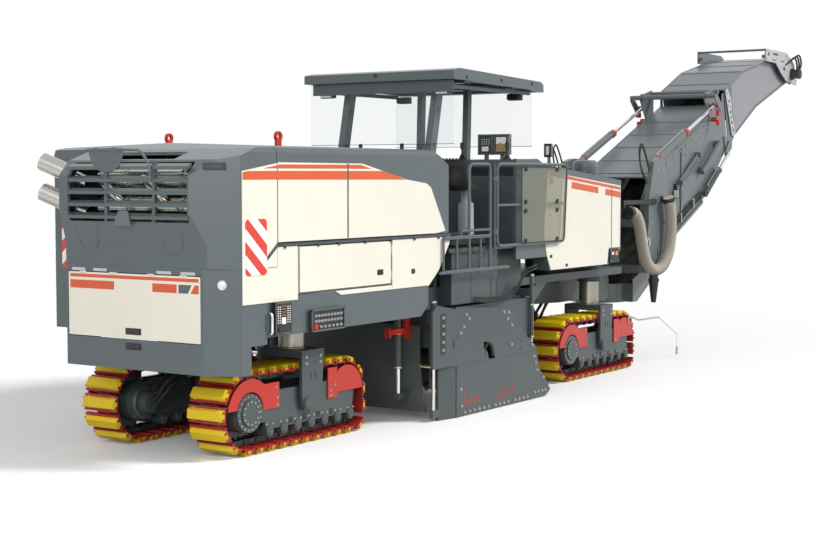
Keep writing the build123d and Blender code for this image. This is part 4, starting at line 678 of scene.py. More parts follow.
def sleeve():
    # polished lifting column between the bridge and its guide
    return turned((0, 0, 0.9055), upward, [(0, 0.134), (0.012, 0.134), (0.016, 0.1255),
                                              (crawlerSizes["sleeveTop"] - 0.9055, 0.1255)], 48)


# the pockets are flat dark films, painted shade in the crawler frame's recesses and slot openings
crawlerParts = {"Bolts": (crawlerBolts(), "zinc"), "Castings": (crawlerCastings(), "darkFrame"),
                "PocketShade": (crawlerPocketShade(), "plastic"), "Sleeve": (sleeve(), "satin")}
for crawler, (columnX, columnY) in crawlers.items():
    for part, (shape, finish) in crawlerParts.items():
        points, faces = shape if columnY < 0 else mirroredShape(shape)
        makePiece(crawler + part, (points + (columnX, columnY, 0), faces), "crawler_" + crawler, finish)

wiper = turned((0, 0, 1.201), upward, [(0, 0.1275), (0, 0.150), (0.014, 0.154), (0.014, 0.1275)], 40)
makePiece("columnWipers", repeated(wiper, [placeAt((x, y, 0)) for x, y in crawlers.values()]), "chassis",
          "rubber")


driveSizes = {"count": 5, "radius": 0.016, "spacing": 0.035}


def driveHoses(columnX, columnY):
    # hoses that hang from the deck to the drive motor, a little apart, every third one at the same height
    inward = -np.sign(columnY)

    def route(i):
        y = columnY + inward * (0.32 + driveSizes["spacing"] * i)
        drop = 0.05 * (i % 3)
        return [(columnX - 0.35 + 0.05 * i, y - inward * 0.10, 1.27),
                (columnX - 0.42 + 0.05 * i, y, 1.10 - drop), (columnX - 0.62, y + inward * 0.05, 0.74 - drop),
                (columnX - 0.80, y, 0.58 - drop), (columnX - 0.86, columnY + inward * 0.31, 0.50 - 0.04 * i)]
    return hoses(driveSizes["count"], route, driveSizes["radius"], 10)


for crawler, (columnX, columnY) in crawlers.items():
    bundle = makePiece(crawler + "Hoses", driveHoses(columnX, columnY), None, "rubber")
    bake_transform(bundle)
print("crawlers")

# ---- stripes, seams and catches on the sides
# outer faces that the films and seams lie on, and the ends of the hood and the rear module
sideFace, hingedFace, frontFace = -1.258, -1.250, -1.228
hoodEnd, moduleEnd = -3.896, -3.912
rearSizes = {"doorFace": -4.550, "catchY": -0.117}
orangeSide = {
    "chassis": [[(-4.385, 2.525), (-4.385, 2.588), (-4.324, 2.600), (moduleEnd, 2.603), (moduleEnd, 2.525)],
                [(-4.115, 2.624), (moduleEnd, 2.652), (moduleEnd, 2.624)]],
    "hood": [[(hoodEnd, 2.525), (hoodEnd, 2.603), (-2.255, 2.606), (-1.856, 2.521)],
             [(hoodEnd, 2.624), (hoodEnd, 2.655), (-3.878, 2.660), (-2.636, 2.663), (-2.453, 2.626)]],
}
for body, outlines in orangeSide.items():
    stripes = film(outlines, sideFace)
    makePiece(body + "SideStripes", bothSides(stripes) if body == "hood" else stripes, body, "orange")


def frontStripes():
    # double stripe that follows the front body's sloping top, with the bare field for lettering left out
    topLine = np.array([(1.193, 2.600), (3.050, 2.418)])

    def below(x0, x1, upper, lower):
        z = np.interp([x0, x1], topLine[:, 0], topLine[:, 1])
        return [(x0, z[0] - upper), (x1, z[1] - upper), (x1, z[1] - lower), (x0 - 0.01, z[0] - lower)]
    outlines = [below(1.20, 3.05, 0.0, 0.036), below(1.19, 1.27, 0.058, 0.135),
                below(1.74, 2.44, 0.058, 0.135), below(2.64, 3.05, 0.058, 0.135)]
    return film(outlines, frontFace)


makePair("frontStripes", frontStripes(), "chassis", "orange")


def rearStripes():
    # thin stripe over a broken thick one, across the rear door
    bars = [(0.67, -0.895, 1.634, 1.664), (0.67, 0.115, 1.532, 1.608), (-0.352, -0.640, 1.532, 1.608)]
    outlines = [[(a, low), (a, high), (b, high), (b, low)] for a, b, low, high in bars]
    outlines.append([(-0.800, 1.532), (-0.850, 1.608), (-0.895, 1.608), (-0.895, 1.532)])
    return film(outlines, rearSizes["doorFace"], "x")


makePiece("rearDoorStripes", rearStripes(), "back_door", "orange")
badge = [(-0.662, 1.532), (-0.662, 1.608), (-0.815, 1.608), (-0.770, 1.532)]
makePiece("rearDoorPatch", film([badge], rearSizes["doorFace"], "x"), "back_door", "blueGrey")


def sideSeams():
    # rail under the hood's edge and the small hooks below it
    face = hingedFace - 0.0005
    rail = [(-3.900, 1.936), (-1.060, 1.936), (-1.060, 1.952), (-3.900, 1.952)]
    parts = [prism(rail, face - 0.012, face + 0.002)]
    for x in (-3.80, -3.30, -2.98, -2.55, -2.12, -1.70, -1.25):
        parts.append(boxAt((x - 0.012, face - 0.016, 1.912), (x + 0.012, face + 0.001, 1.940), 0.002))
    return joined(parts)


def bentSeam():
    # the same rail where it drops across the rear corner's cream sheet
    outline = [(moduleEnd, 1.965), (moduleEnd, 1.930), (-4.062, 1.812), (-4.062, 1.845)]
    return prism(outline, sideFace - 0.008, sideFace + 0.001)


makePair("sideRails", sideSeams(), "chassis", "darkFrame")
makePiece("bentRail", bentSeam(), "chassis", "darkFrame")
seam = boxAt((-2.854, sideFace - 0.0015, 1.974), (-2.833, sideFace + 0.001, 2.674), 0.0004)
makePair("hoodSeams", seam, "hood", "darkFrame")
seamOut, seamIn = hingedFace - 0.0014, hingedFace + 0.0005
doorSeams = [boxAt((x, seamOut, 1.497), (x + 0.013, seamIn, 1.913), 0.0004) for x in (-3.594, -2.115)]
doorSeams = joined(doorSeams + [boxAt((-3.594, seamOut, 1.495), (-2.102, seamIn, 1.503), 0.0004)])
onBothBodies("doorSeams", doorSeams, "service_door", "darkFrame")
frontSeam = boxAt((2.802, frontFace - 0.0015, 1.660), (2.820, frontFace + 0.0005, 2.440), 0.0004)
makePair("frontSeams", frontSeam, "chassis", "darkFrame")


def paddleCatch(x, z, wide=0.10, high=0.055):
    # flush paddle handle: a rounded dish, the paddle inside it and its lock
    face = hingedFace - 0.0002
    dish = boxAt((x - wide / 2, face - 0.004, z - high / 2), (x + wide / 2, face + 0.001, z + high / 2),
                 0.003)
    paddle = boxAt((x - wide * 0.38, face - 0.012, z - high * 0.26),
                   (x + wide * 0.15, face - 0.003, z + high * 0.26), 0.003)
    lock = turned((x + wide * 0.3, face - 0.002, z), toRight, [(0, 0.011), (0.007, 0.011), (0.009, 0.008)],
                  16)
    return joined([dish, paddle, lock])


onBothBodies("serviceCatch", paddleCatch(-2.30, 1.62), "service_door", "plastic")
makePair("sideCatch", paddleCatch(-1.72, 1.60, 0.06, 0.05), "chassis", "plastic")
print("sides")

# ---- rear face: catches, lamps, bare bracket, plate holder
def rearCatch(z):
    # paddle catch that faces backwards
    face, y = rearSizes["doorFace"], rearSizes["catchY"]
    dish = boxAt((face - 0.005, y - 0.095, z - 0.030), (face + 0.001, y + 0.095, z + 0.030), 0.004)
    paddle = boxAt((face - 0.014, y - 0.075, z - 0.018), (face - 0.004, y + 0.035, z + 0.018), 0.004)
    lock = turned((face - 0.003, y, z), (-1, 0, 0), [(0, 0.010), (0.013, 0.010), (0.015, 0.007)], 16)
    return joined([dish, paddle, lock])


makePiece("rearDoorCatch", rearCatch(1.165), "back_door", "plastic")
makePiece("apronCatch", rearCatch(1.030), "chassis", "plastic")


def rearHinges():
    # flat hinge leaves above the door
    parts = [boxAt((-4.558, y, 1.693), (-4.549, y + 0.17, 1.722), 0.002) for y in (-0.86, -0.58, 0.20, 0.47)]
    return joined(parts)


makePiece("rearHinges", rearHinges(), "chassis", "zinc")


def onWall(shape, centre, along):
    # a shape drawn in XZ with Y into the wall, moved to a wall that runs along
    points, faces = shape
    place = placeAt(centre, along)
    return np.asarray(points, float) @ place[:3, :3].T + place[:3, 3], faces


ledFrame = boxAt((-0.100, -0.012, -0.032), (0.100, 0.006, 0.032), 0.005)
ledGlass = boxAt((-0.075, -0.016, -0.015), (0.075, -0.010, 0.015), 0.003)
roundRim = turned((0, 0, 0), toRight, [(0, 0.044), (0.008, 0.044), (0.012, 0.038), (0.010, 0.034)], 32)
roundGlass = turned((0, 0, 0), toRight, [(0.004, 0.035), (0.013, 0.033), (0.019, 0.022), (0.021, 0.006)], 32)
# where each stands, and the way its slanting wall runs
lampStand = ((-4.516, -1.055, 2.640), (0.508, -0.861, 0))
reflectorStand = ((-4.476, -1.100, 1.615), (0.441, -0.897, 0))
for name, shape, stand, finish in (("rearWorkLampFrame", ledFrame, lampStand, "plastic"),
                                   ("rearWorkLampGlass", ledGlass, lampStand, "display"),
                                   ("cornerReflectorRim", roundRim, reflectorStand, "zinc"),
                                   ("cornerReflector", roundGlass, reflectorStand, "white")):
    makePiece(name, onWall(shape, *stand), "chassis", finish)


def plateHolder():
    # drop-shaped plate hung from a bent tube beside the louvers
    outline = [(0.335, 2.805), (-0.100, 2.805), (-0.094, 2.730), (-0.060, 2.655), (-0.005, 2.610),
               (0.050, 2.594), (0.157, 2.594), (0.215, 2.612), (0.270, 2.655), (0.310, 2.730)]
    plate = prism(outline, -4.642, -4.636, "x")
    clips = [boxAt((-4.649, y - 0.018, 2.752), (-4.635, y + 0.018, 2.812), 0.003) for y in (0.235, 0.015)]
    return joined([plate] + clips)


tubePath = roundedPath([(-4.640, 0.360, 2.790), (-4.640, -0.300, 2.788), (-4.640, -0.418, 2.660),
                        (-4.636, -0.424, 2.520)], 0.05)
makePiece("plateHolder", plateHolder(), "chassis", "blueGrey")
makePiece("plateHolderTube", tube(tubePath, 0.012, 14), "chassis", "blueGrey")
bracketOutline = [(0.025, 2.112), (-0.036, 2.250), (-0.147, 2.250), (-0.182, 2.112)]
bracket = joined([prism(bracketOutline, -4.641, -4.628, "x"),
                  boxAt((-4.6435, -0.140, 2.130), (-4.640, -0.043, 2.236), 0.002)])
makePiece("badgeBracket", bracket, "chassis", "boom")


def pressedBeads():
    # two drop-shaped lines pressed in the leaning panel under the louvers, each a thin ridge
    parts = []
    for middle in (0.40, -0.62):
        y = middle + np.array([0.16, 0.15, 0.10, 0.02, -0.06, -0.10, -0.12])
        z = np.array([2.10, 1.99, 1.90, 1.86, 1.90, 1.99, 2.10])
        x = np.interp(z, [1.95, 2.24], [-4.549, -4.628])
        parts.append(tube(smoothPath(np.stack([x, y, z], -1), 6), 0.006, 8))
    return joined(parts)


makePiece("pressedBeads", pressedBeads(), "chassis", "blueGrey")


exhaustSizes = {"x": -4.33, "heights": (2.28, 2.54), "clampY": (-0.62, -0.30, 0.05, 0.36), "pipe": 0.045,
                "bends": ((-0.45, 0.0), (0.10, 0.03))}


def exhaustDress():
    # pipe clamps and two bent pipes behind the louvers
    clamp = [(0, 0.112), (0.004, 0.119), (0.030, 0.119), (0.034, 0.112)]
    parts = [turned((exhaustSizes["x"], y, z), (0, 1, 0), clamp, 36)
             for z in exhaustSizes["heights"] for y in exhaustSizes["clampY"]]
    for y, lift in exhaustSizes["bends"]:
        path = [(-4.34, y, 2.24 + lift), (-4.44, y + 0.06, 2.36), (-4.45, y + 0.20, 2.47),
                (-4.38, y + 0.34, 2.56), (-4.30, y + 0.40, 2.60)]
        parts.append(tube(smoothPath(path), exhaustSizes["pipe"], 20))
    return joined(parts)


makePiece("exhaustDress", exhaustDress(), "chassis", "stainless")
print("rear")

# ---- dust hose: the CAD loop with its moulded ribs
hoseSizes = {"radius": 0.080, "rib": 0.006, "pitch": 0.024, "y": -0.830}
hoseRoute = [(4.110, 2.060), (4.330, 2.066), (4.480, 1.900), (4.560, 1.640), (4.680, 1.370), (4.950, 1.240),
             (5.230, 1.280), (5.450, 1.480), (5.530, 1.780), (5.500, 2.060), (5.410, 2.260)]


def ribbedHose():
    # circle of radius r - rib * (1 - |cos(pi s / pitch)|) carried along the route, s being the distance run
    route = np.array([(x, hoseSizes["y"], z) for x, z in hoseRoute])
    curve = [route[:1]]
    share = np.linspace(0, 1, 12)[:, None]
    for before, corner, after in zip(route[:-2], route[1:-1], route[2:]):
        cut = 0.45 * min(np.linalg.norm(before - corner), np.linalg.norm(after - corner))
        a, b = corner + unit(before - corner) * cut, corner + unit(after - corner) * cut
        curve.append((1 - share) ** 2 * a + 2 * share * (1 - share) * corner + share ** 2 * b)
    curve = np.vstack(curve + [route[-1:]])
    run = np.concatenate([[0], np.cumsum(np.linalg.norm(np.diff(curve, axis=0), axis=1))])
    at = np.linspace(0, run[-1], int(run[-1] / hoseSizes["pitch"]) * 6)
    path = np.stack([np.interp(at, run, curve[:, axis]) for axis in range(3)], -1)
    radius = hoseSizes["radius"] - hoseSizes["rib"] * (1 - np.abs(np.cos(math.pi * at / hoseSizes["pitch"])))
    return tube(path, radius, 40)


hose = makePiece("ribbedDustHose", ribbedHose(), "conveyor_yoke", "paleHose")
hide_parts("dust_hose")


def hoseClamp(first, last, share, radius=0.0885):
    # worm-drive band round a straight stretch of the hose, with its screw housing
    a, b = (np.array([x, hoseSizes["y"], z]) for x, z in (first, last))
    centre = a + (b - a) * share
    axis = unit(b - a)
    rim = radius + 0.003
    band = turned(centre, axis, [(-0.007, radius), (-0.007, rim), (0.007, rim), (0.007, radius)], 40)
    screw = turned(centre + (0, -radius - 0.006, 0) - axis * 0.02, axis, [(0, 0.007), (0.04, 0.007)], 8)
    return joined([band, screw])


clamps = joined([hoseClamp(hoseRoute[0], hoseRoute[1], 0.36), hoseClamp(hoseRoute[-1], hoseRoute[-2], 0.30)])
makePiece("hoseClamps", clamps, "conveyor_yoke", "zinc")
print("dust hose")


# ---- side plates: wear plate, bolts, painted depth scales, rods
plateSizes = {"face": -1.250, "wear": 0.006, "bolt": 0.030, "scale": 0.011}
wearFace = plateSizes["face"] - plateSizes["wear"]
wearOutline = [(-0.895, 0.009), (1.058, 0.009), (1.178, 0.068), (1.080, 0.188), (1.023, 0.245),
               (0.960, 0.297), (0.898, 0.363), (0.870, 0.476), (0.856, 0.553), (-0.895, 0.553)]
onBothBodies("wearPlate", prism(wearOutline, wearFace, plateSizes["face"] + 0.001), "side_plate", "darkFrame")


def plateBolts():
    # grouped rows over the skid, single bolts over the plate, and the row up the bracket's dark strip
    rows = [(-0.734, -0.240, 6, 0.045), (-0.094, 0.190, 4, 0.045), (0.344, 0.624, 4, 0.047),
            (0.800, 1.050, 4, 0.080)]
    low = [(x, wearFace, z) for start, end, count, z in rows for x in np.linspace(start, end, count)]
    low += [(-0.814, wearFace, 0.297), (-0.799, wearFace, 0.119), (1.000, wearFace, 0.235)]
    front = [(0.780, wearFace, 0.500), (0.815, wearFace, 0.415), (0.850, wearFace, 0.330)]
    high = [(-0.747, 0.956), (-0.808, 0.898), (0.106, 1.055), (0.205, 1.045), (0.183, 0.975), (0.275, 0.894),
            (0.268, 0.680), (0.745, 0.629), (-0.700, 1.085), (-0.640, 1.040)]
    strip = [(-1.155, plateSizes["face"] - 0.001, z) for z in np.linspace(0.745, 1.085, 5)]
    points = low + front + [(x, plateSizes["face"], z) for x, z in high] + strip
    return boltsAt(points, toRight, plateSizes["bolt"])


def plateStripAndHoleShade():
    # dark strip on the bracket, and painted shade: flat dark films stand for the shade in an oval hole and
    # three drilled holes
    face = plateSizes["face"]
    oval = np.linspace(0, 2 * math.pi, 28, endpoint=False)
    outline = np.stack([-0.945 + 0.020 * np.cos(oval), 0.790 + 0.048 * np.sin(oval)], -1)
    parts = [boxAt((-1.205, face - 0.0012, 0.700), (-1.105, face + 0.002, 1.130), 0.0005),
             prism(outline, face - 0.0012, face + 0.001)]
    for x, z in ((0.494, 0.700), (0.494, 0.610), (-0.880, 0.870)):
        parts.append(turned((x, face + 0.001, z), toRight, [(0, 0.014), (0.0022, 0.014)], 20))
    return joined(parts)


def archedDuct():
    # rubber-edged duct that shows through the window: a half round of tube
    turn = np.linspace(0, math.pi, 20)
    path = np.stack([-0.205 + 0.095 * np.cos(turn), np.full(20, -1.232), 0.590 + 0.150 * np.sin(turn)], -1)
    return tube(path, 0.020, 14)


def depthScale(start, end, lift, upright, low, top):
    # painted scale: a long bar that climbs by lift, five ticks on it and an upright from low to top
    thick = plateSizes["scale"]
    x0, z0 = start
    x1, z1 = end, start[1] + lift
    bars = [[(x0, z0), (x1, z1), (x1, z1 + thick), (x0, z0 + thick)]]
    for x in np.linspace(x0 + 0.05, x1 - 0.02, 5):
        z = z0 + lift * (x - x0) / (x1 - x0)
        bars.append([(x, z - 0.035), (x + thick, z - 0.035), (x + thick, z + 0.045), (x, z + 0.045)])
    bars.append([(upright, low), (upright + thick, low), (upright + thick, top), (upright, top)])
    return film(bars, wearFace)


scales = joined([depthScale((-0.735, 0.150), -0.420, 0.0, -0.748, 0.115, 0.318),
                 depthScale((-0.052, 0.120), 0.300, 0.045, 0.298, 0.120, 0.284)])
plateRods = joined([turned((-1.235, -1.182, 0.121), upward, [(0, 0.0184), (0.760, 0.0184)]),
                    turned((-1.316, -1.215, 0.590), (0, 1, 0), [(0, 0.018), (0.004, 0.022), (0.150, 0.022),
                                                                (0.154, 0.018)], 28)])
strutRod = turned((0.860, -1.180, 0.391), upward, [(0, 0.0124), (0.600, 0.0124)], 20)
# the plate's holes are flat dark films, painted shade, next to a dark strip on the bracket
for name, shape, finish in (("plateBolts", plateBolts(), "zinc"),
                            ("plateStripAndHoleShade", plateStripAndHoleShade(), "plastic"),
                            ("windowDuct", archedDuct(), "rubber"), ("depthScales", scales, "red"),
                            ("plateRods", plateRods, "chrome"), ("strutRod", strutRod, "white")):
    onBothBodies(name, shape, "side_plate", finish)
scraperRod = turned((-1.440, -0.880, 0.301), upward, [(0, 0.0224), (0.650, 0.0224)], 24)
makePair("scraperRods", scraperRod, "scraper", "chrome")


def liftHooks():
    # transport lock of the scraper's cylinder: a bar with an end plate, and an upright wedge
    wedge = [(-1.425, 0.880), (-1.350, 0.860), (-1.345, 0.930), (-1.375, 1.150), (-1.425, 1.150)]
    return joined([boxAt((-1.700, -0.955, 0.930), (-1.400, -0.915, 0.982), 0.004),
                   boxAt((-1.722, -0.970, 0.902), (-1.700, -0.900, 1.010), 0.004),
                   prism(wedge, -0.975, -0.925)])


# fixed barrels of the side plates, struts and scraper: X, Y, inner and outer radius, lowest and highest band
barrels = ((-1.235, 1.182, 0.0305, 0.036, 0.642, 1.265), (0.860, 1.180, 0.0225, 0.028, 0.702, 1.435),
           (-1.440, 0.880, 0.0385, 0.045, 0.562, 1.270))


def barrelBands():
    # three bands and a pipe on each barrel
    parts = []
    for x, y, inner, outer, low, high in barrels:
        for z in (low, (low + high) / 2, high - 0.025):
            parts.append(ringShape((x, -y, z), upward, inner, outer, 0.022, 28))
        pipeX = x + outer + 0.006
        parts.append(tube([(pipeX, -y, low + 0.03), (pipeX, -y, high - 0.02)], 0.007, 8))
    return joined(parts)


makePair("liftHooks", liftHooks(), "chassis", "red")
makePair("barrelBands", barrelBands(), "chassis", "zinc")
springSizes = {"x": 1.020, "y": -1.020, "low": 0.660, "coils": 6, "pitch": 0.045, "inner": 0.020,
               "outer": 0.046}
springPlaces = [(springSizes["x"], springSizes["y"], springSizes["low"] + springSizes["pitch"] * i)
                for i in range(springSizes["coils"])]
spring = joined([ringShape(place, upward, springSizes["inner"], springSizes["outer"], 0.026, 24)
                 for place in springPlaces])
makePair("tensionSprings", spring, "chassis", "red")
springRod = joined([turned((1.020, -1.020, 0.600), upward, [(0, 0.019), (0.460, 0.019)], 18),
                    boxAt((0.985, -1.055, 1.040), (1.055, -0.985, 1.090), 0.004)])
makePair("springRods", springRod, "chassis", "darkSteel")


def middleRoute(i):
    # two hoses, one above the other, that run over the side plate and rise to the platform
    lift = 0.040 * i
    return [(-0.420, -1.190, 1.205 + lift), (-0.050, -1.192, 1.172 + lift), (0.300, -1.192, 1.195 + lift),
            (0.520, -1.190, 1.290 + lift), (0.700, -1.188, 1.440 + lift), (0.960, -1.188, 1.500 + lift)]


makePair("middleHoses", hoses(2, middleRoute, 0.010), "chassis", "rubber")
print("side plates")

# ---- platform: gate knobs, mats, lockers, consoles and screens
knob = turned((0, 0, 0), toRight, [(0, 0.017), (0.003, 0.025), (0.013, 0.025), (0.016, 0.020),
                                   (0.016, 0.008)], 24)
gateSizes = {"knobFace": -1.2955, "knobX": (0.505, 1.240), "knobZ": (1.830, 2.165, 2.268, 2.635),
             "edgeY": -1.2912, "edge": 0.005}
knobPlaces = [placeAt((x, gateSizes["knobFace"], z)) for x in gateSizes["knobX"] for z in gateSizes["knobZ"]]
onBothBodies("gateKnobs", repeated(knob, knobPlaces), "gate", "plastic")
sheetEdge = [(0.4245, 1.8055), (1.4285, 1.8055), (1.4925, 2.6545), (0.4245, 2.6545), (0.4245, 1.8055)]
gateEdge = tube([(x, gateSizes["edgeY"], z) for x, z in sheetEdge], gateSizes["edge"], 8)
onBothBodies("gateSheetEdge", gateEdge, "gate", "plastic")


def ladderTreads():
    # two rows of narrow teeth against slipping, the lower one longer
    tooth = chamferedBox((0.022, 0.050, 0.008), 0.002)
    return joined([repeated(tooth, [placeAt((x, -1.268, z)) for x in np.arange(-1.160, end, 0.036)])
                   for z, end in ((1.5705, 0.100), (1.9235, -0.250))])


makePair("ladderTreads", ladderTreads(), "chassis", "zinc")
matSizes = {"rear": -0.940, "front": 0.410, "half": 1.170, "floor": 1.7905, "thick": 0.009, "ridge": 0.003,
            "ridgesPerMetre": 20, "steps": 217}


def floorMat():
    # ribbed mat: floor + thickness + ridge * |sin(pi * ridges * x)|, with a 5 mm slope down each side
    floor, half, steps = matSizes["floor"], matSizes["half"], matSizes["steps"]
    x = np.linspace(matSizes["rear"], matSizes["front"], steps)
    y = np.array([-half, -half + 0.005, half - 0.005, half])
    wave = np.abs(np.sin(x * math.pi * matSizes["ridgesPerMetre"]))
    height = floor + matSizes["thick"] + matSizes["ridge"] * wave
    z = np.stack([np.full(steps, floor), height, height, np.full(steps, floor)], -1)
    points = np.stack([np.repeat(x[:, None], 4, 1), np.repeat(y[None], steps, 0), z], -1)
    return gridShape(points, closeV=True, capped=True)


makePiece("floorMat", floorMat(), "chassis", "rubber")


def frontPanels():
    # thin raised panels on the hood's front end, which clear the posts as it tilts, and low lockers before it
    sides = ((-1.140, -0.720), (-0.480, -0.060), (0.060, 0.480), (0.720, 1.140))
    panels = [boxAt((hoodFront - 0.004, low, z), (hoodFront + 0.014, high, z + 0.270), 0.004)
              for low, high in sides for z in (2.090, 2.375)]
    lockers = [boxAt((-0.955, low, 1.800), (-0.870, high, 1.925), 0.012) for low, high in sides]
    return joined(panels), joined(lockers)


hoodFront = -0.970
hoodPanels, lockerBoxes = frontPanels()
makePiece("hoodFrontPanels", hoodPanels, "hood", "midGrey")
makePiece("lockers", lockerBoxes, "chassis", "blueGrey")
bins = joined([boxAt((-0.830, -1.150, 1.802), (-0.480, -0.870, 1.960), 0.020),
               boxAt((-0.400, -1.150, 1.802), (-0.120, -0.930, 1.915), 0.020)])
makePair("toolBins", bins, "chassis", "plastic")
seatSizes = {"x": 0.060, "y": -0.780, "half": 0.230, "narrowing": 0.15, "dip": 0.030, "thick": 0.055}
column = turned((seatSizes["x"], seatSizes["y"], 1.800), upward,
                [(0, 0.110), (0.020, 0.090), (0.450, 0.086), (0.470, 0.060), (0.620, 0.055)], 36)
makePair("seatColumns", column, "chassis", "paleGrey")


def seatForm():
    # moulded shell: one sheet bent from the level part up the back, dip * (1 - v * v) lower at its middle
    u = np.linspace(0, 1, 25)
    v = np.linspace(-1, 1, 21)
    bend = np.array([(-0.105, 2.500), (-0.330, 2.470), (-0.500, 2.465), (-0.585, 2.560), (-0.610, 2.760)])
    run = smoothPath(np.insert(bend, 1, 0.0, axis=1), 6)[:25]
    hollow = seatSizes["dip"] * (1 - v ** 2)
    outward = unit(np.array([0.6, 0, 0.8]))
    across = v * seatSizes["half"] * (1 - seatSizes["narrowing"] * u[:, None] ** 3)
    middle = run[:, None, :] + np.array([0, 1, 0]) * across[:, :, None]
    top = middle - outward * hollow[None, :, None]
    bottom = top[:, ::-1] - outward * seatSizes["thick"]
    shift = (seatSizes["x"] + 0.300, seatSizes["y"], 0)
    return gridShape(np.concatenate([top, bottom], 1) + shift, closeV=True, capped=True)


makePair("operatorSeats", seatForm(), "chassis", "rubber", sharp=50)
cabinetTrim = joined([boxAt((-0.451, -1.1635, 1.200), (-0.332, -1.158, 1.720), 0.002),
                      barFrame((-0.030, 1.215), (0.100, 1.429), 0.014, -1.1655, -1.158, 0.002)])
makePair("cabinetTrim", cabinetTrim, "chassis", "darkFrame")
# two screens, side by side: a raised rim and the glass inside it
screenSizes = {"middles": (-0.895, -0.685), "half": 0.098, "bar": 0.018, "low": 2.803, "high": 3.032,
               "back": 0.628, "front": 0.642}
screenRim, screenGlass = [], []
for middle in screenSizes["middles"]:
    half, bar, low, high = (screenSizes[key] for key in ("half", "bar", "low", "high"))
    screenRim.append(barFrame((middle - half, low), (middle + half, high), bar, screenSizes["back"],
                              screenSizes["front"], 0.004, "x"))
    screenGlass.append(boxAt((0.634, middle - half + bar, low + bar),
                             (0.6405, middle + half - bar, high - bar), 0.001))
makePiece("screenFrames", joined(screenRim), "chassis", "blueGrey")
makePiece("screenGlass", joined(screenGlass), "chassis", "display")
screenSky = joined([boxAt((0.632, -0.960, 2.920), (0.6345, -0.830, 3.000), 0.0006),
                    boxAt((0.632, -0.730, 2.840), (0.6345, -0.640, 2.895), 0.0006)])
makePiece("screenSky", screenSky, "chassis", "white")
groundOutline = [(-0.960, 2.835), (-0.830, 2.835), (-0.830, 2.905), (-0.880, 2.938), (-0.960, 2.912)]
makePiece("screenGround", prism(groundOutline, 0.6315, 0.6338, "x"), "chassis", "sand")
keys = [placeAt((0.6325, y, z)) for y in (-0.735, -0.705, -0.675, -0.645) for z in (2.925, 2.950, 2.975)]
makePiece("screenKeys", repeated(chamferedBox((0.006, 0.018, 0.014), 0.002), keys), "chassis", "paleGrey")
dashSizes = {"stickX": 0.560, "stickY": (-0.420, 0.420, -1.020, 1.020), "top": 2.744, "switchX": 0.780,
             "switchTop": 2.756, "reach": 0.250, "spacing": 0.045}


def dashControls():
    # four joysticks with boots and a row of switches along the dash
    stick = [(0, 0.045), (0.010, 0.045), (0.030, 0.026), (0.040, 0.032), (0.055, 0.018), (0.075, 0.011),
             (0.120, 0.011), (0.130, 0.022), (0.185, 0.026), (0.200, 0.014)]
    parts = [turned((dashSizes["stickX"], y, dashSizes["top"]), upward, stick) for y in dashSizes["stickY"]]
    row = np.arange(-dashSizes["reach"], dashSizes["reach"] + 0.001, dashSizes["spacing"])
    switches = [placeAt((dashSizes["switchX"], y, dashSizes["switchTop"])) for y in row]
    return joined(parts + [repeated(chamferedBox((0.030, 0.020, 0.020), 0.004), switches)])


makePiece("dashControls", dashControls(), "chassis", "plastic")
grip = joined([tube([(0.560, 0.238, 2.835), (0.560, 0.362, 2.835)], 0.020, 20),
               turned((0.560, 0.300, 2.740), upward, [(0, 0.016), (0.090, 0.016)], 20)])
makePiece("parkingGrip", grip, "chassis", "white")
makePiece("sightDisplayRim", boxAt((1.9165, -0.847, 2.788), (1.9210, -0.753, 2.947), 0.002), "chassis",
          "plastic")
makePiece("sightDisplay", boxAt((1.9145, -0.822, 2.815), (1.9180, -0.778, 2.920), 0.001), "chassis",
          "lampGlass")
fins = joined([ringShape((3.000, -0.760, z), upward, 0.158, 0.166, 0.014, 48)
               for z in np.linspace(2.500, 2.660, 7)])
makePiece("airCleanerFins", fins, "chassis", "boom")
print("platform")

# ---- canopy: header band, lamps, cable clips
def canopyBand():
    # deep sheet under the roof's rear lip, and header tubes along the sides
    parts = [boxAt((-0.478, -0.950, 3.470), (-0.462, 0.950, 3.635), 0.004)]
    for y in (-0.930, 0.930):
        parts.append(boxAt((-0.470, y - 0.020, 3.500), (1.220, y + 0.020, 3.545), 0.004))
    return joined(parts)


makePiece("canopyBand", canopyBand(), "chassis", "darkFrame")
# each lamp's X, the way it faces along X, and its Y
canopyLampStands = [(x, out, y) for x, out in ((-0.420, -1), (1.160, 1)) for y in (-0.780, 0.780)]


def canopyLamps():
    # work lamp housings under the roof's four corners, with cooling ribs on their backs
    parts = []
    for x, out, y in canopyLampStands:
        back = x - out * 0.052
        parts.append(boxAt((x - 0.035, y - 0.085, 3.440), (x + 0.035, y + 0.085, 3.520), 0.008))
        parts += [boxAt((back - 0.018, y - 0.070 + 0.035 * i, 3.448),
                        (back + 0.018, y - 0.064 + 0.035 * i, 3.512), 0.001) for i in range(5)]
    return joined(parts)


makePiece("canopyLamps", canopyLamps(), "chassis", "plastic")
lenses = [boxAt((x + out * 0.036 - 0.003, y - 0.072, 3.450), (x + out * 0.036 + 0.003, y + 0.072, 3.510),
                0.002) for x, out, y in canopyLampStands]
makePiece("canopyLenses", joined(lenses), "chassis", "lampGlass")
clipY = 0.020
clips = [boxAt((x - 0.018, -1.0125, 3.610), (x + 0.018, -1.005, 3.650), 0.002)
         for x in (-0.300, 0.450, 1.150)]
clips = joined(clips + [boxAt((-0.5655, clipY - 0.022, 3.645), (-0.5580, clipY + 0.022, 3.680), 0.002)])
makePiece("canopyClips", clips, "chassis", "plastic")
screenRims = joined([boxAt((x - 0.003, -0.962, 2.902), (x + 0.009, 0.962, 2.908), 0.001)
                     for x in (-0.490, 1.240)])
makePiece("screenRims", screenRims, "chassis", "plastic")
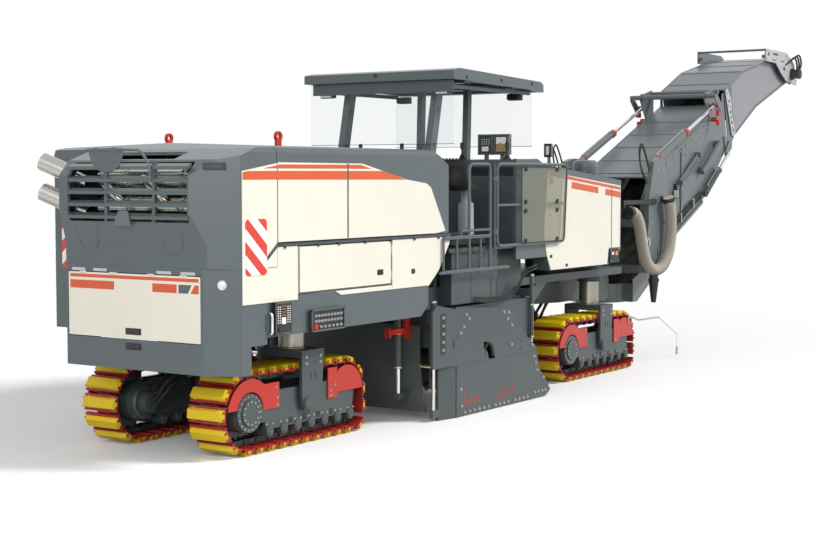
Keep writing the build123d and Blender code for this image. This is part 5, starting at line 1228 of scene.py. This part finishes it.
# painted shade: flat dark blocks on the canopy posts stand for the shade inside their slot openings
postSlotShades = []
for side in (-1, 1):
    for z in (2.880, 3.270):
        x = -0.400 + max(0.0, (z - 2.750) * 0.22)
        postSlotShades.append(boxAt((x - 0.012, side * 0.590 - 0.0415, z),
                           (x + 0.012, side * 0.590 + 0.0415, z + 0.045), 0.001))
makePiece("postSlotShade", joined(postSlotShades), "chassis", "plastic")
print("canopy")

# ---- service boxes on the right side
keypadSizes = {"face": -1.290, "sideKeys": (-3.945, -3.915, -3.806, -3.776),
               "middleKeys": (-3.882, -3.861, -3.840)}
makePiece("keypadRim", barFrame((-3.978, 1.153), (-3.743, 1.435), 0.012, -1.292, -1.286, 0.002), "chassis",
          "blueGrey")
keypadKeys = [placeAt((x, keypadSizes["face"], z)) for x in keypadSizes["sideKeys"]
              for z in np.linspace(1.255, 1.395, 8)]
makePiece("keypadKeys", repeated(chamferedBox((0.016, 0.008, 0.010), 0.002), keypadKeys), "chassis", "white")
makePiece("keypadScreen", boxAt((-3.890, -1.2905, 1.240), (-3.832, -1.287, 1.300), 0.001), "chassis",
          "lampGlass")
middleKeys = [placeAt((x, keypadSizes["face"], z)) for x in keypadSizes["middleKeys"]
              for z in np.linspace(1.320, 1.400, 4)]
makePiece("keypadMiddle", repeated(chamferedBox((0.013, 0.008, 0.013), 0.003), middleKeys), "chassis", "sand")
makePiece("keypadPlug", boxAt((-3.940, -1.300, 1.160), (-3.870, -1.280, 1.212), 0.006), "chassis", "plastic")


makePiece("valveBoxFrame", barFrame((-3.443, 1.128), (-2.927, 1.334), 0.016, -1.287, -1.274, 0.003),
          "chassis", "blueGrey")
coupling = turned((0, 0, 0), toRight, [(0, 0.015), (0.006, 0.015), (0.008, 0.010), (0.016, 0.010),
                                       (0.016, 0.004)], 14)
couplingFace = -1.2765
couplings = [placeAt((x, couplingFace, z)) for x in np.linspace(-3.380, -2.990, 9) for z in (1.275, 1.225)]
couplings += [placeAt((x, couplingFace, 1.170)) for x in np.linspace(-3.300, -2.990, 6)]
makePiece("valveCouplings", repeated(coupling, couplings), "chassis", "zinc")
makePiece("valveSwitch", boxAt((-3.410, -1.290, 1.152), (-3.355, -1.275, 1.198), 0.004), "chassis", "red")
rail = roundedPath([(-4.030, -1.242, 1.165), (-4.030, -1.290, 1.165), (-4.030, -1.290, 1.345),
                    (-4.030, -1.242, 1.345)], 0.024, 8)
makePiece("grabRail", tube(rail, 0.0128, 16), "chassis", "chrome")
amber = boxAt((2.900, -1.246, 1.560), (2.975, -1.238, 1.612), 0.004)
clear = boxAt((2.800, -1.246, 1.570), (2.860, -1.238, 1.606), 0.004)
lampBolts = boltsAt([(x, -1.240, z) for x in (2.780, 2.990) for z in (1.490, 1.625)], toRight, 0.012)
makePiece("indicatorAmber", amber, "chassis", "amber")
makePiece("indicatorClear", clear, "chassis", "lampGlass")
makePiece("indicatorBolts", lampBolts, "chassis", "zinc")
frontClips = joined([boxAt((x - 0.030, -1.232, z - 0.018), (x + 0.030, -1.226, z + 0.018), 0.003)
                     for x, z in ((1.230, 1.620), (1.620, 1.500))])
makePair("frontClips", frontClips, "chassis", "plastic")
print("service boxes")

# ---- conveyor: light grey skins, ribs, bolts, glands, drive motor, hoses, lamps
boomSizes = {"face": -0.520, "cover": 1.000, "bolt": 0.030, "hingeFace": -0.5385, "headFace": -0.5985,
             "lowerRibs": (0.05, 0.22, 0.40, 0.58, 0.76), "upperRibs": (0.10, 0.30, 0.52, 0.74)}
boomFace, hingeFace, headFace = boomSizes["face"], boomSizes["hingeFace"], boomSizes["headFace"]
boomTop = np.array([(5.420, 2.545), (5.768, 2.688), (7.533, 3.429), (8.080, 3.660)])
boomBottom = np.array([(7.315, 2.142), (6.373, 1.717), (5.900, 1.350)])
upperTop = np.array([(8.160, 3.905), (8.927, 4.238), (9.833, 4.439), (10.750, 4.560)])


def alongLine(line, shares):
    # points at shares of a polyline's length, each with the direction of its stretch
    step = np.diff(line, axis=0)
    length = np.hypot(step[:, 0], step[:, 1])
    run = np.concatenate([[0], np.cumsum(length)])
    at = np.asarray(shares) * run[-1]
    number = np.clip(np.searchsorted(run, at, side="right") - 1, 0, len(length) - 1)
    point = np.stack([np.interp(at, run, line[:, 0]), np.interp(at, run, line[:, 1])], -1)
    return point, step[number] / length[number, None]


def coverRibs(line, shares):
    # folded ribs across a boom's cover, one at each share of its length, standing square to it
    point, direction = alongLine(line, shares)
    rib = chamferedBox((0.050, boomSizes["cover"], 0.014), 0.004)
    places = [placeAt((x, 0, z), (dx, 0, dz), (-dz, 0, dx)) for (x, z), (dx, dz) in zip(point, direction)]
    return repeated(rib, places)


def edgeBolts(line, shares, drop):
    # a bolt at each share of an edge, set in from it by drop
    point, direction = alongLine(line, shares)
    x, z = point[:, 0] + direction[:, 1] * drop, point[:, 1] - direction[:, 0] * drop
    return boltsAt([(a, boomFace, b) for a, b in zip(x, z)], toRight, boomSizes["bolt"])


makePiece("lowerCoverRibs", coverRibs(boomTop, boomSizes["lowerRibs"]), "conveyor_lower", "boom")
makePiece("upperCoverRibs", coverRibs(upperTop, boomSizes["upperRibs"]), "conveyor_upper", "boom")
lowerBolts = joined([edgeBolts(boomTop, np.linspace(0.14, 0.82, 9), 0.070),
                     edgeBolts(boomTop, np.linspace(0.17, 0.62, 4), 0.200),
                     edgeBolts(boomBottom, np.linspace(0.05, 0.95, 7), 0.085)])
makePair("lowerBoomBolts", lowerBolts, "conveyor_lower", "zinc")


def flangeStrip(line, width, low, high):
    # a folded edge: the line carried down by its width
    line = np.asarray(line, float)
    below = line[::-1] - (0, width)
    return prism(np.vstack([line, below]), low, high)


flanges = joined([flangeStrip(boomTop[:3] + (0, 0.006), 0.040, boomFace - 0.022, boomFace - 0.0005),
                  flangeStrip(boomBottom[::-1] + (0.02, 0.045), 0.045, boomFace - 0.022, boomFace - 0.0005)])
makePair("lowerBoomFlanges", flanges, "conveyor_lower", "boom")
stiffeners = []
for x, low, high in ((5.900, 1.420, 2.690), (6.560, 1.860, 2.960)):
    stiffeners.append(boxAt((x - 0.030, boomFace - 0.016, low), (x + 0.030, boomFace - 0.0005, high), 0.004))
makePair("boomStiffeners", joined(stiffeners), "conveyor_lower", "boom")
upperSkin = [(8.640, 3.235), (9.490, 3.680), (10.700, 4.085), (10.700, 4.150), (10.480, 4.240),
             (10.190, 4.420), (9.833, 4.425), (8.927, 4.222), (8.440, 4.012), (8.470, 3.780), (8.540, 3.520)]
makePair("upperBoomPanels", prism(upperSkin, -0.5232, -0.5202), "conveyor_upper", "midGrey")
upperFlange = joined([flangeStrip(upperTop[:3] + (0, 0.004), 0.030, -0.540, -0.5205),
                      flangeStrip([(8.660, 3.262), (9.490, 3.702), (10.700, 4.118)], 0.028, -0.534, -0.5205)])
makePair("upperBoomFlanges", upperFlange, "conveyor_upper", "boom")
hingeSkin = [(8.174, 3.880), (8.260, 3.926), (8.416, 3.758), (8.476, 3.500), (8.614, 3.240), (8.560, 3.184),
             (8.472, 3.194), (8.334, 3.502), (8.294, 3.600)]
makePair("hingeSkins", prism(hingeSkin, hingeFace, -0.5362), "conveyor_upper", "paleGrey")
# painted shade: flat dark discs on the hinge skin stand for the shade in its holes
hingeHoleShade = [turned((x, hingeFace + 0.0002, z), toRight, [(0, 0.026), (0.001, 0.026)])
              for x, z in ((8.330, 3.730), (8.400, 3.560), (8.450, 3.400), (8.520, 3.280))]
makePair("hingeHoleShade", joined(hingeHoleShade), "conveyor_upper", "plastic")
hingeBolts = [(8.255, 3.850), (8.300, 3.660), (8.365, 3.640), (8.385, 3.465), (8.430, 3.490), (8.470, 3.320),
              (8.560, 3.230)]
hingeBolts = boltsAt([(x, hingeFace, z) for x, z in hingeBolts], toRight, 0.024)
makePair("hingeBolts", hingeBolts, "conveyor_upper", "zinc")
headSkin = [(9.730, 4.444), (9.730, 4.641), (10.736, 4.627), (11.078, 4.467), (11.234, 4.230),
            (11.196, 4.114), (10.721, 4.160), (10.502, 4.254), (10.202, 4.434)]
makePair("headSkins", prism(headSkin, headFace, -0.5952), "conveyor_upper", "paleGrey")
# painted shade: flat dark films on the head skin stand for the shade in its slot openings
headSlotShade = [boxAt((x0, -0.5998, z0), (x1, -0.5975, z1), 0.0006)
             for x0, x1, z0, z1 in ((9.840, 9.900, 4.535, 4.590), (10.060, 10.300, 4.560, 4.592),
                                    (10.020, 10.200, 4.470, 4.486), (10.420, 10.600, 4.470, 4.486),
                                    (10.560, 10.640, 4.330, 4.392))]
makePair("headSlotShade", joined(headSlotShade), "conveyor_upper", "plastic")
headBolts = [(9.780, 4.610), (9.780, 4.480), (10.250, 4.500), (10.480, 4.580), (10.680, 4.580),
             (10.420, 4.370), (10.760, 4.450), (10.790, 4.210), (10.900, 4.500), (11.130, 4.330),
             (11.140, 4.180)]
headBolts = boltsAt([(x, headFace, z) for x, z in headBolts], toRight, 0.022)
makePair("headBolts", headBolts, "conveyor_upper", "zinc")
motor = turned((10.960, -0.598, 4.290), toRight, [(0, 0.098), (0.030, 0.098), (0.034, 0.078), (0.110, 0.074),
                                                  (0.116, 0.086), (0.150, 0.086), (0.158, 0.070),
                                                  (0.158, 0.020)], 32)
makePair("headMotors", motor, "conveyor_upper", "plastic")


def motorRoute(i):
    # three hoses that leave the head drum's motor in a wide bow and run back along the boom
    y = -0.640 - 0.036 * i
    return [(10.960, y, 4.300 + 0.02 * i), (11.090, y, 4.360 + 0.03 * i), (11.080, y, 4.500 + 0.02 * i),
            (10.940, y, 4.560 + 0.02 * i), (10.760, -0.610, 4.470), (10.600, -0.580, 4.400)]


makePair("motorHoses", hoses(3, motorRoute, 0.015), "conveyor_upper", "rubber")
liftBase, liftEye = np.array([5.430, -0.590, 2.750]), np.array([7.610, -0.590, 3.630])
foldBase, foldEye = np.array([7.330, -0.580, 2.290]), np.array([8.215, -0.580, 2.900])


def cylinderGland(base, eye, share, inner, outer, length):
    # gland nut that ends at the share of the way from base to eye where the rod leaves
    axis = unit(eye - base)
    return ringShape(base + (eye - base) * share - axis * length, axis, inner, outer, length)


liftGlands = joined([cylinderGland(liftBase, liftEye, 0.517, 0.030, 0.058, 0.075),
                     cylinderGland(liftBase, liftEye, 0.075, 0.049, 0.053, 0.040)])
makePair("liftGlands", liftGlands, "lift_cylinder_barrels", "red")
liftEyes = ringShape(liftEye + (0, 0.022, 0), toRight, 0.030, 0.050, 0.044)
makePair("liftEyes", liftEyes, "lift_cylinder_rods", "red")
foldGlands = cylinderGland(foldBase, foldEye, 0.602, 0.028, 0.050, 0.050)
makePair("foldGlands", foldGlands, "fold_cylinder_barrels", "boom")


def cylinderPipes(base, eye, share, out):
    # steel pipe clipped along a barrel, with a block at each end
    axis = unit(eye - base)
    over = np.array([-axis[2], 0, axis[0]])
    start, end = base + axis * 0.15 + over * out, base + (eye - base) * share + over * out
    pipe = tube([start - over * 0.02, start, end, end - over * 0.02], 0.008, 8)
    blocks = [turned(point - over * 0.03, over, [(0, 0.020), (0.030, 0.020), (0.034, 0.012)], 12)
              for point in (start, end)]
    return joined([pipe] + blocks)


makePair("liftPipes", cylinderPipes(liftBase, liftEye, 0.47, 0.068), "lift_cylinder_barrels", "zinc")
makePair("foldPipes", cylinderPipes(foldBase, foldEye, 0.54, 0.060), "fold_cylinder_barrels", "zinc")
redBlocks = joined([boxAt((7.545, -0.690, 3.470), (7.645, -0.640, 3.560), 0.008),
                    boxAt((7.560, -0.682, 3.330), (7.640, -0.640, 3.410), 0.008),
                    turned((7.620, -0.545, 3.420), toRight, [(0, 0.034), (0.090, 0.034)], 20)])
makePair("valveBlocks", redBlocks, "conveyor_lower", "red")


def boomBars():
    # stowed hose carrier and the lamp's arm on the boom's side
    parts = [tube([(6.420, -0.548, 2.470), (7.140, -0.548, 2.905)], 0.024, 16),
             tube([(6.455, -0.600, 2.440), (7.105, -0.600, 2.835)], 0.014, 12)]
    for x, z in ((6.440, 2.465), (7.110, 2.880)):
        parts.append(boxAt((x - 0.035, -0.612, z - 0.040), (x + 0.035, -0.521, z + 0.030), 0.005))
    parts.append(tube([(7.180, -0.585, 2.610), (7.860, -0.585, 3.080)], 0.040, 20))
    for x, z in ((7.220, 2.640), (7.820, 3.050)):
        parts.append(boxAt((x - 0.030, -0.600, z - 0.050), (x + 0.030, -0.521, z + 0.050), 0.005))
    return joined(parts)


makePair("boomBars", boomBars(), "conveyor_lower", "boom")
boomLamp = joined([boxAt((6.270, -0.620, 2.230), (6.370, -0.525, 2.360), 0.012),
                   boxAt((6.300, -0.560, 2.350), (6.340, -0.521, 2.440), 0.004)])
makePair("boomLamps", boomLamp, "conveyor_lower", "plastic")
makePair("boomLampLens", boxAt((6.262, -0.612, 2.240), (6.271, -0.535, 2.350), 0.002), "conveyor_lower",
          "lampGlass")


def boomRoute(i):
    # four hoses clipped in a row along the lower boom's bottom edge on the right
    z = 0.030 * i
    return [(5.500, -0.560, 1.450 + z), (5.900, -0.545, 1.520 + z), (6.373, -0.545, 1.840 + z),
            (7.000, -0.545, 2.130 + z), (7.260, -0.545, 2.230 + z)]


makePiece("boomHoses", hoses(4, boomRoute, 0.012, 8, 8), "conveyor_lower", "rubber")
hoseClips = [boxAt((x - 0.012, -0.562, z - 0.020), (x + 0.012, -0.519, z + 0.125), 0.003)
             for x, z in ((6.050, 1.610), (6.500, 1.895), (6.950, 2.105))]
makePiece("hoseClips", joined(hoseClips), "conveyor_lower", "zinc")


def yokeRoute(i):
    # five hoses from the front body's nose over to the yoke, each a sagging curve beside the next
    y = -0.300 + 0.050 * i
    return [(3.150, y, 2.330), (3.420, y - 0.02, 2.480 + 0.03 * i), (3.900, y - 0.06, 2.470 + 0.04 * i),
            (4.400, y - 0.10, 2.300 + 0.03 * i), (4.740, y - 0.12, 2.120), (4.840, y - 0.08, 1.965)]


yokeBundle = makePiece("yokeHoses", hoses(5, yokeRoute, 0.016, 10), None, "rubber")
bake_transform(yokeBundle)
loop = smoothPath([(5.060, -0.700, 2.620), (4.930, -0.700, 2.840), (4.820, -0.700, 2.960),
                   (4.740, -0.700, 2.860), (4.800, -0.700, 2.640), (4.980, -0.700, 2.460)], 8)
loops = joined([tube(loop + (0.05 * i, 0.03 * i, 0.04 * i), 0.012, 8) for i in range(2)])
makePair("yokeLoops", loops, "conveyor_yoke", "rubber")
shackle = roundedPath([(4.930, -0.738, 1.590), (4.930, -0.742, 1.690), (5.000, -0.742, 1.690),
                       (5.000, -0.738, 1.590)], 0.030, 8)
makePair("yokeShackles", tube(shackle, 0.009, 12), "conveyor_yoke", "chrome")
armBolts = [(x, -0.730, z) for x, z in ((5.080, 1.280), (5.180, 1.280), (5.450, 1.330), (5.080, 1.900),
                                        (5.520, 1.900), (5.240, 2.640), (5.440, 2.640))]
makePair("yokeBolts", boltsAt(armBolts, toRight, 0.034), "conveyor_yoke", "zinc")
pinCaps = turned((5.430, -0.625, 2.750), toRight, [(0, 0.040), (0.012, 0.040), (0.016, 0.030)])
makePair("liftPinCaps", pinCaps, "conveyor_yoke", "zinc")
print("conveyor")


# ---- floor, light and camera
def seenRays(material):
    # 1 for rays from the camera, straight, reflected or through glass, and 0 for those that only light
    rays = addNode(material, "LightPath")
    seen = addNode(material, "Math", {0: (rays, "Is Camera Ray"), 1: (rays, "Is Glossy Ray")},
                   operation="MAXIMUM")
    return addNode(material, "Math", {0: (seen, 0), 1: (rays, "Is Transmission Ray")}, operation="MAXIMUM")


studioSizes = {"floorSize": 160.0, "floorLift": 0.06, "sky": 0.45, "fillPower": 1350.0,
               "fillSize": (14.0, 9.0), "fillPlace": (-20.0, -6.0, 7.0), "fillAim": (17.0, 5.5, -5.5),
               "sunStrength": 2.95, "sunSpread": 14.0, "sunAim": (-0.45, 0.65, -0.62)}
cameraSizes = {"place": (-14.584, -9.768, 2.557), "look": (0.83046, 0.55385, -0.05983), "lens": 67.72,
               "sensor": 36.0}


def aim(stood, direction):
    # turns a lamp or camera to look along a direction
    stood.rotation_mode = "QUATERNION"
    stood.rotation_quaternion = Vector(direction).to_track_quat("-Z", "Y")


def makeFloor():
    # level floor that looks white but throws little light back
    mesh = bpy.data.meshes.new("floor")
    half = studioSizes["floorSize"] / 2
    mesh.from_pydata([(-half, -half, 0), (half, -half, 0), (half, half, 0), (-half, half, 0)], [],
                     [(0, 1, 2, 3)])
    floor = standObject("floor", mesh)
    material = newMaterial("paleFloor", "#ffffff")
    seen = seenRays(material)
    lift = multiply(material, (seen, 0), studioSizes["floorLift"])
    tone = blendColour(material, (seen, 0), linearColour("#a0a09e"), linearColour("#f4f4f4"))
    setPrincipled(material, {"Base Color": (tone, 2), "Roughness": 0.9, "Emission Color": (1, 1, 1, 1),
                             "Emission Strength": (lift, 0)})
    mesh.materials.append(material)


def makeSky():
    # white wherever it is seen, and a softer light where it only lights
    world = bpy.data.worlds.new("sky")
    world.use_nodes = True
    world.node_tree.nodes.clear()
    seen = seenRays(world)
    strength = mapRange(world, (seen, 0), 0, 1, studioSizes["sky"], 1.0)
    sky = addNode(world, "Background", {"Color": (1, 1, 1, 1), "Strength": (strength, 0)})
    addNode(world, "OutputWorld", {"Surface": (sky, 0)})
    bpy.context.scene.world = world


def makeLights():
    # a large soft fill behind the machine, and a sun from its front right for one shadow without glints
    fill = bpy.data.lights.new("fill", "AREA")
    fill.shape = "RECTANGLE"
    fill.size, fill.size_y = studioSizes["fillSize"]
    fill.energy = studioSizes["fillPower"]
    fillObject = standObject("fill", fill)
    fillObject.location = studioSizes["fillPlace"]
    aim(fillObject, studioSizes["fillAim"])
    sun = bpy.data.lights.new("sun", "SUN")
    sun.energy = studioSizes["sunStrength"]
    sun.angle = math.radians(studioSizes["sunSpread"])
    sunObject = standObject("sun", sun)
    sunObject.visible_glossy = False
    aim(sunObject, studioSizes["sunAim"])


def makeCamera():
    # stands behind the right rear corner, a little under the hood's height, looking slightly down
    data = bpy.data.cameras.new("camera")
    data.sensor_width = cameraSizes["sensor"]
    data.lens = cameraSizes["lens"]
    camera = standObject("camera", data)
    x, y, z = cameraSizes["place"]
    camera.location = (x + drumX, y, z)
    aim(camera, cameraSizes["look"])
    bpy.context.scene.camera = camera


makeFloor()
makeSky()
makeLights()
makeCamera()
bpy.context.scene.view_settings.view_transform = "Standard"
print("studio and camera")
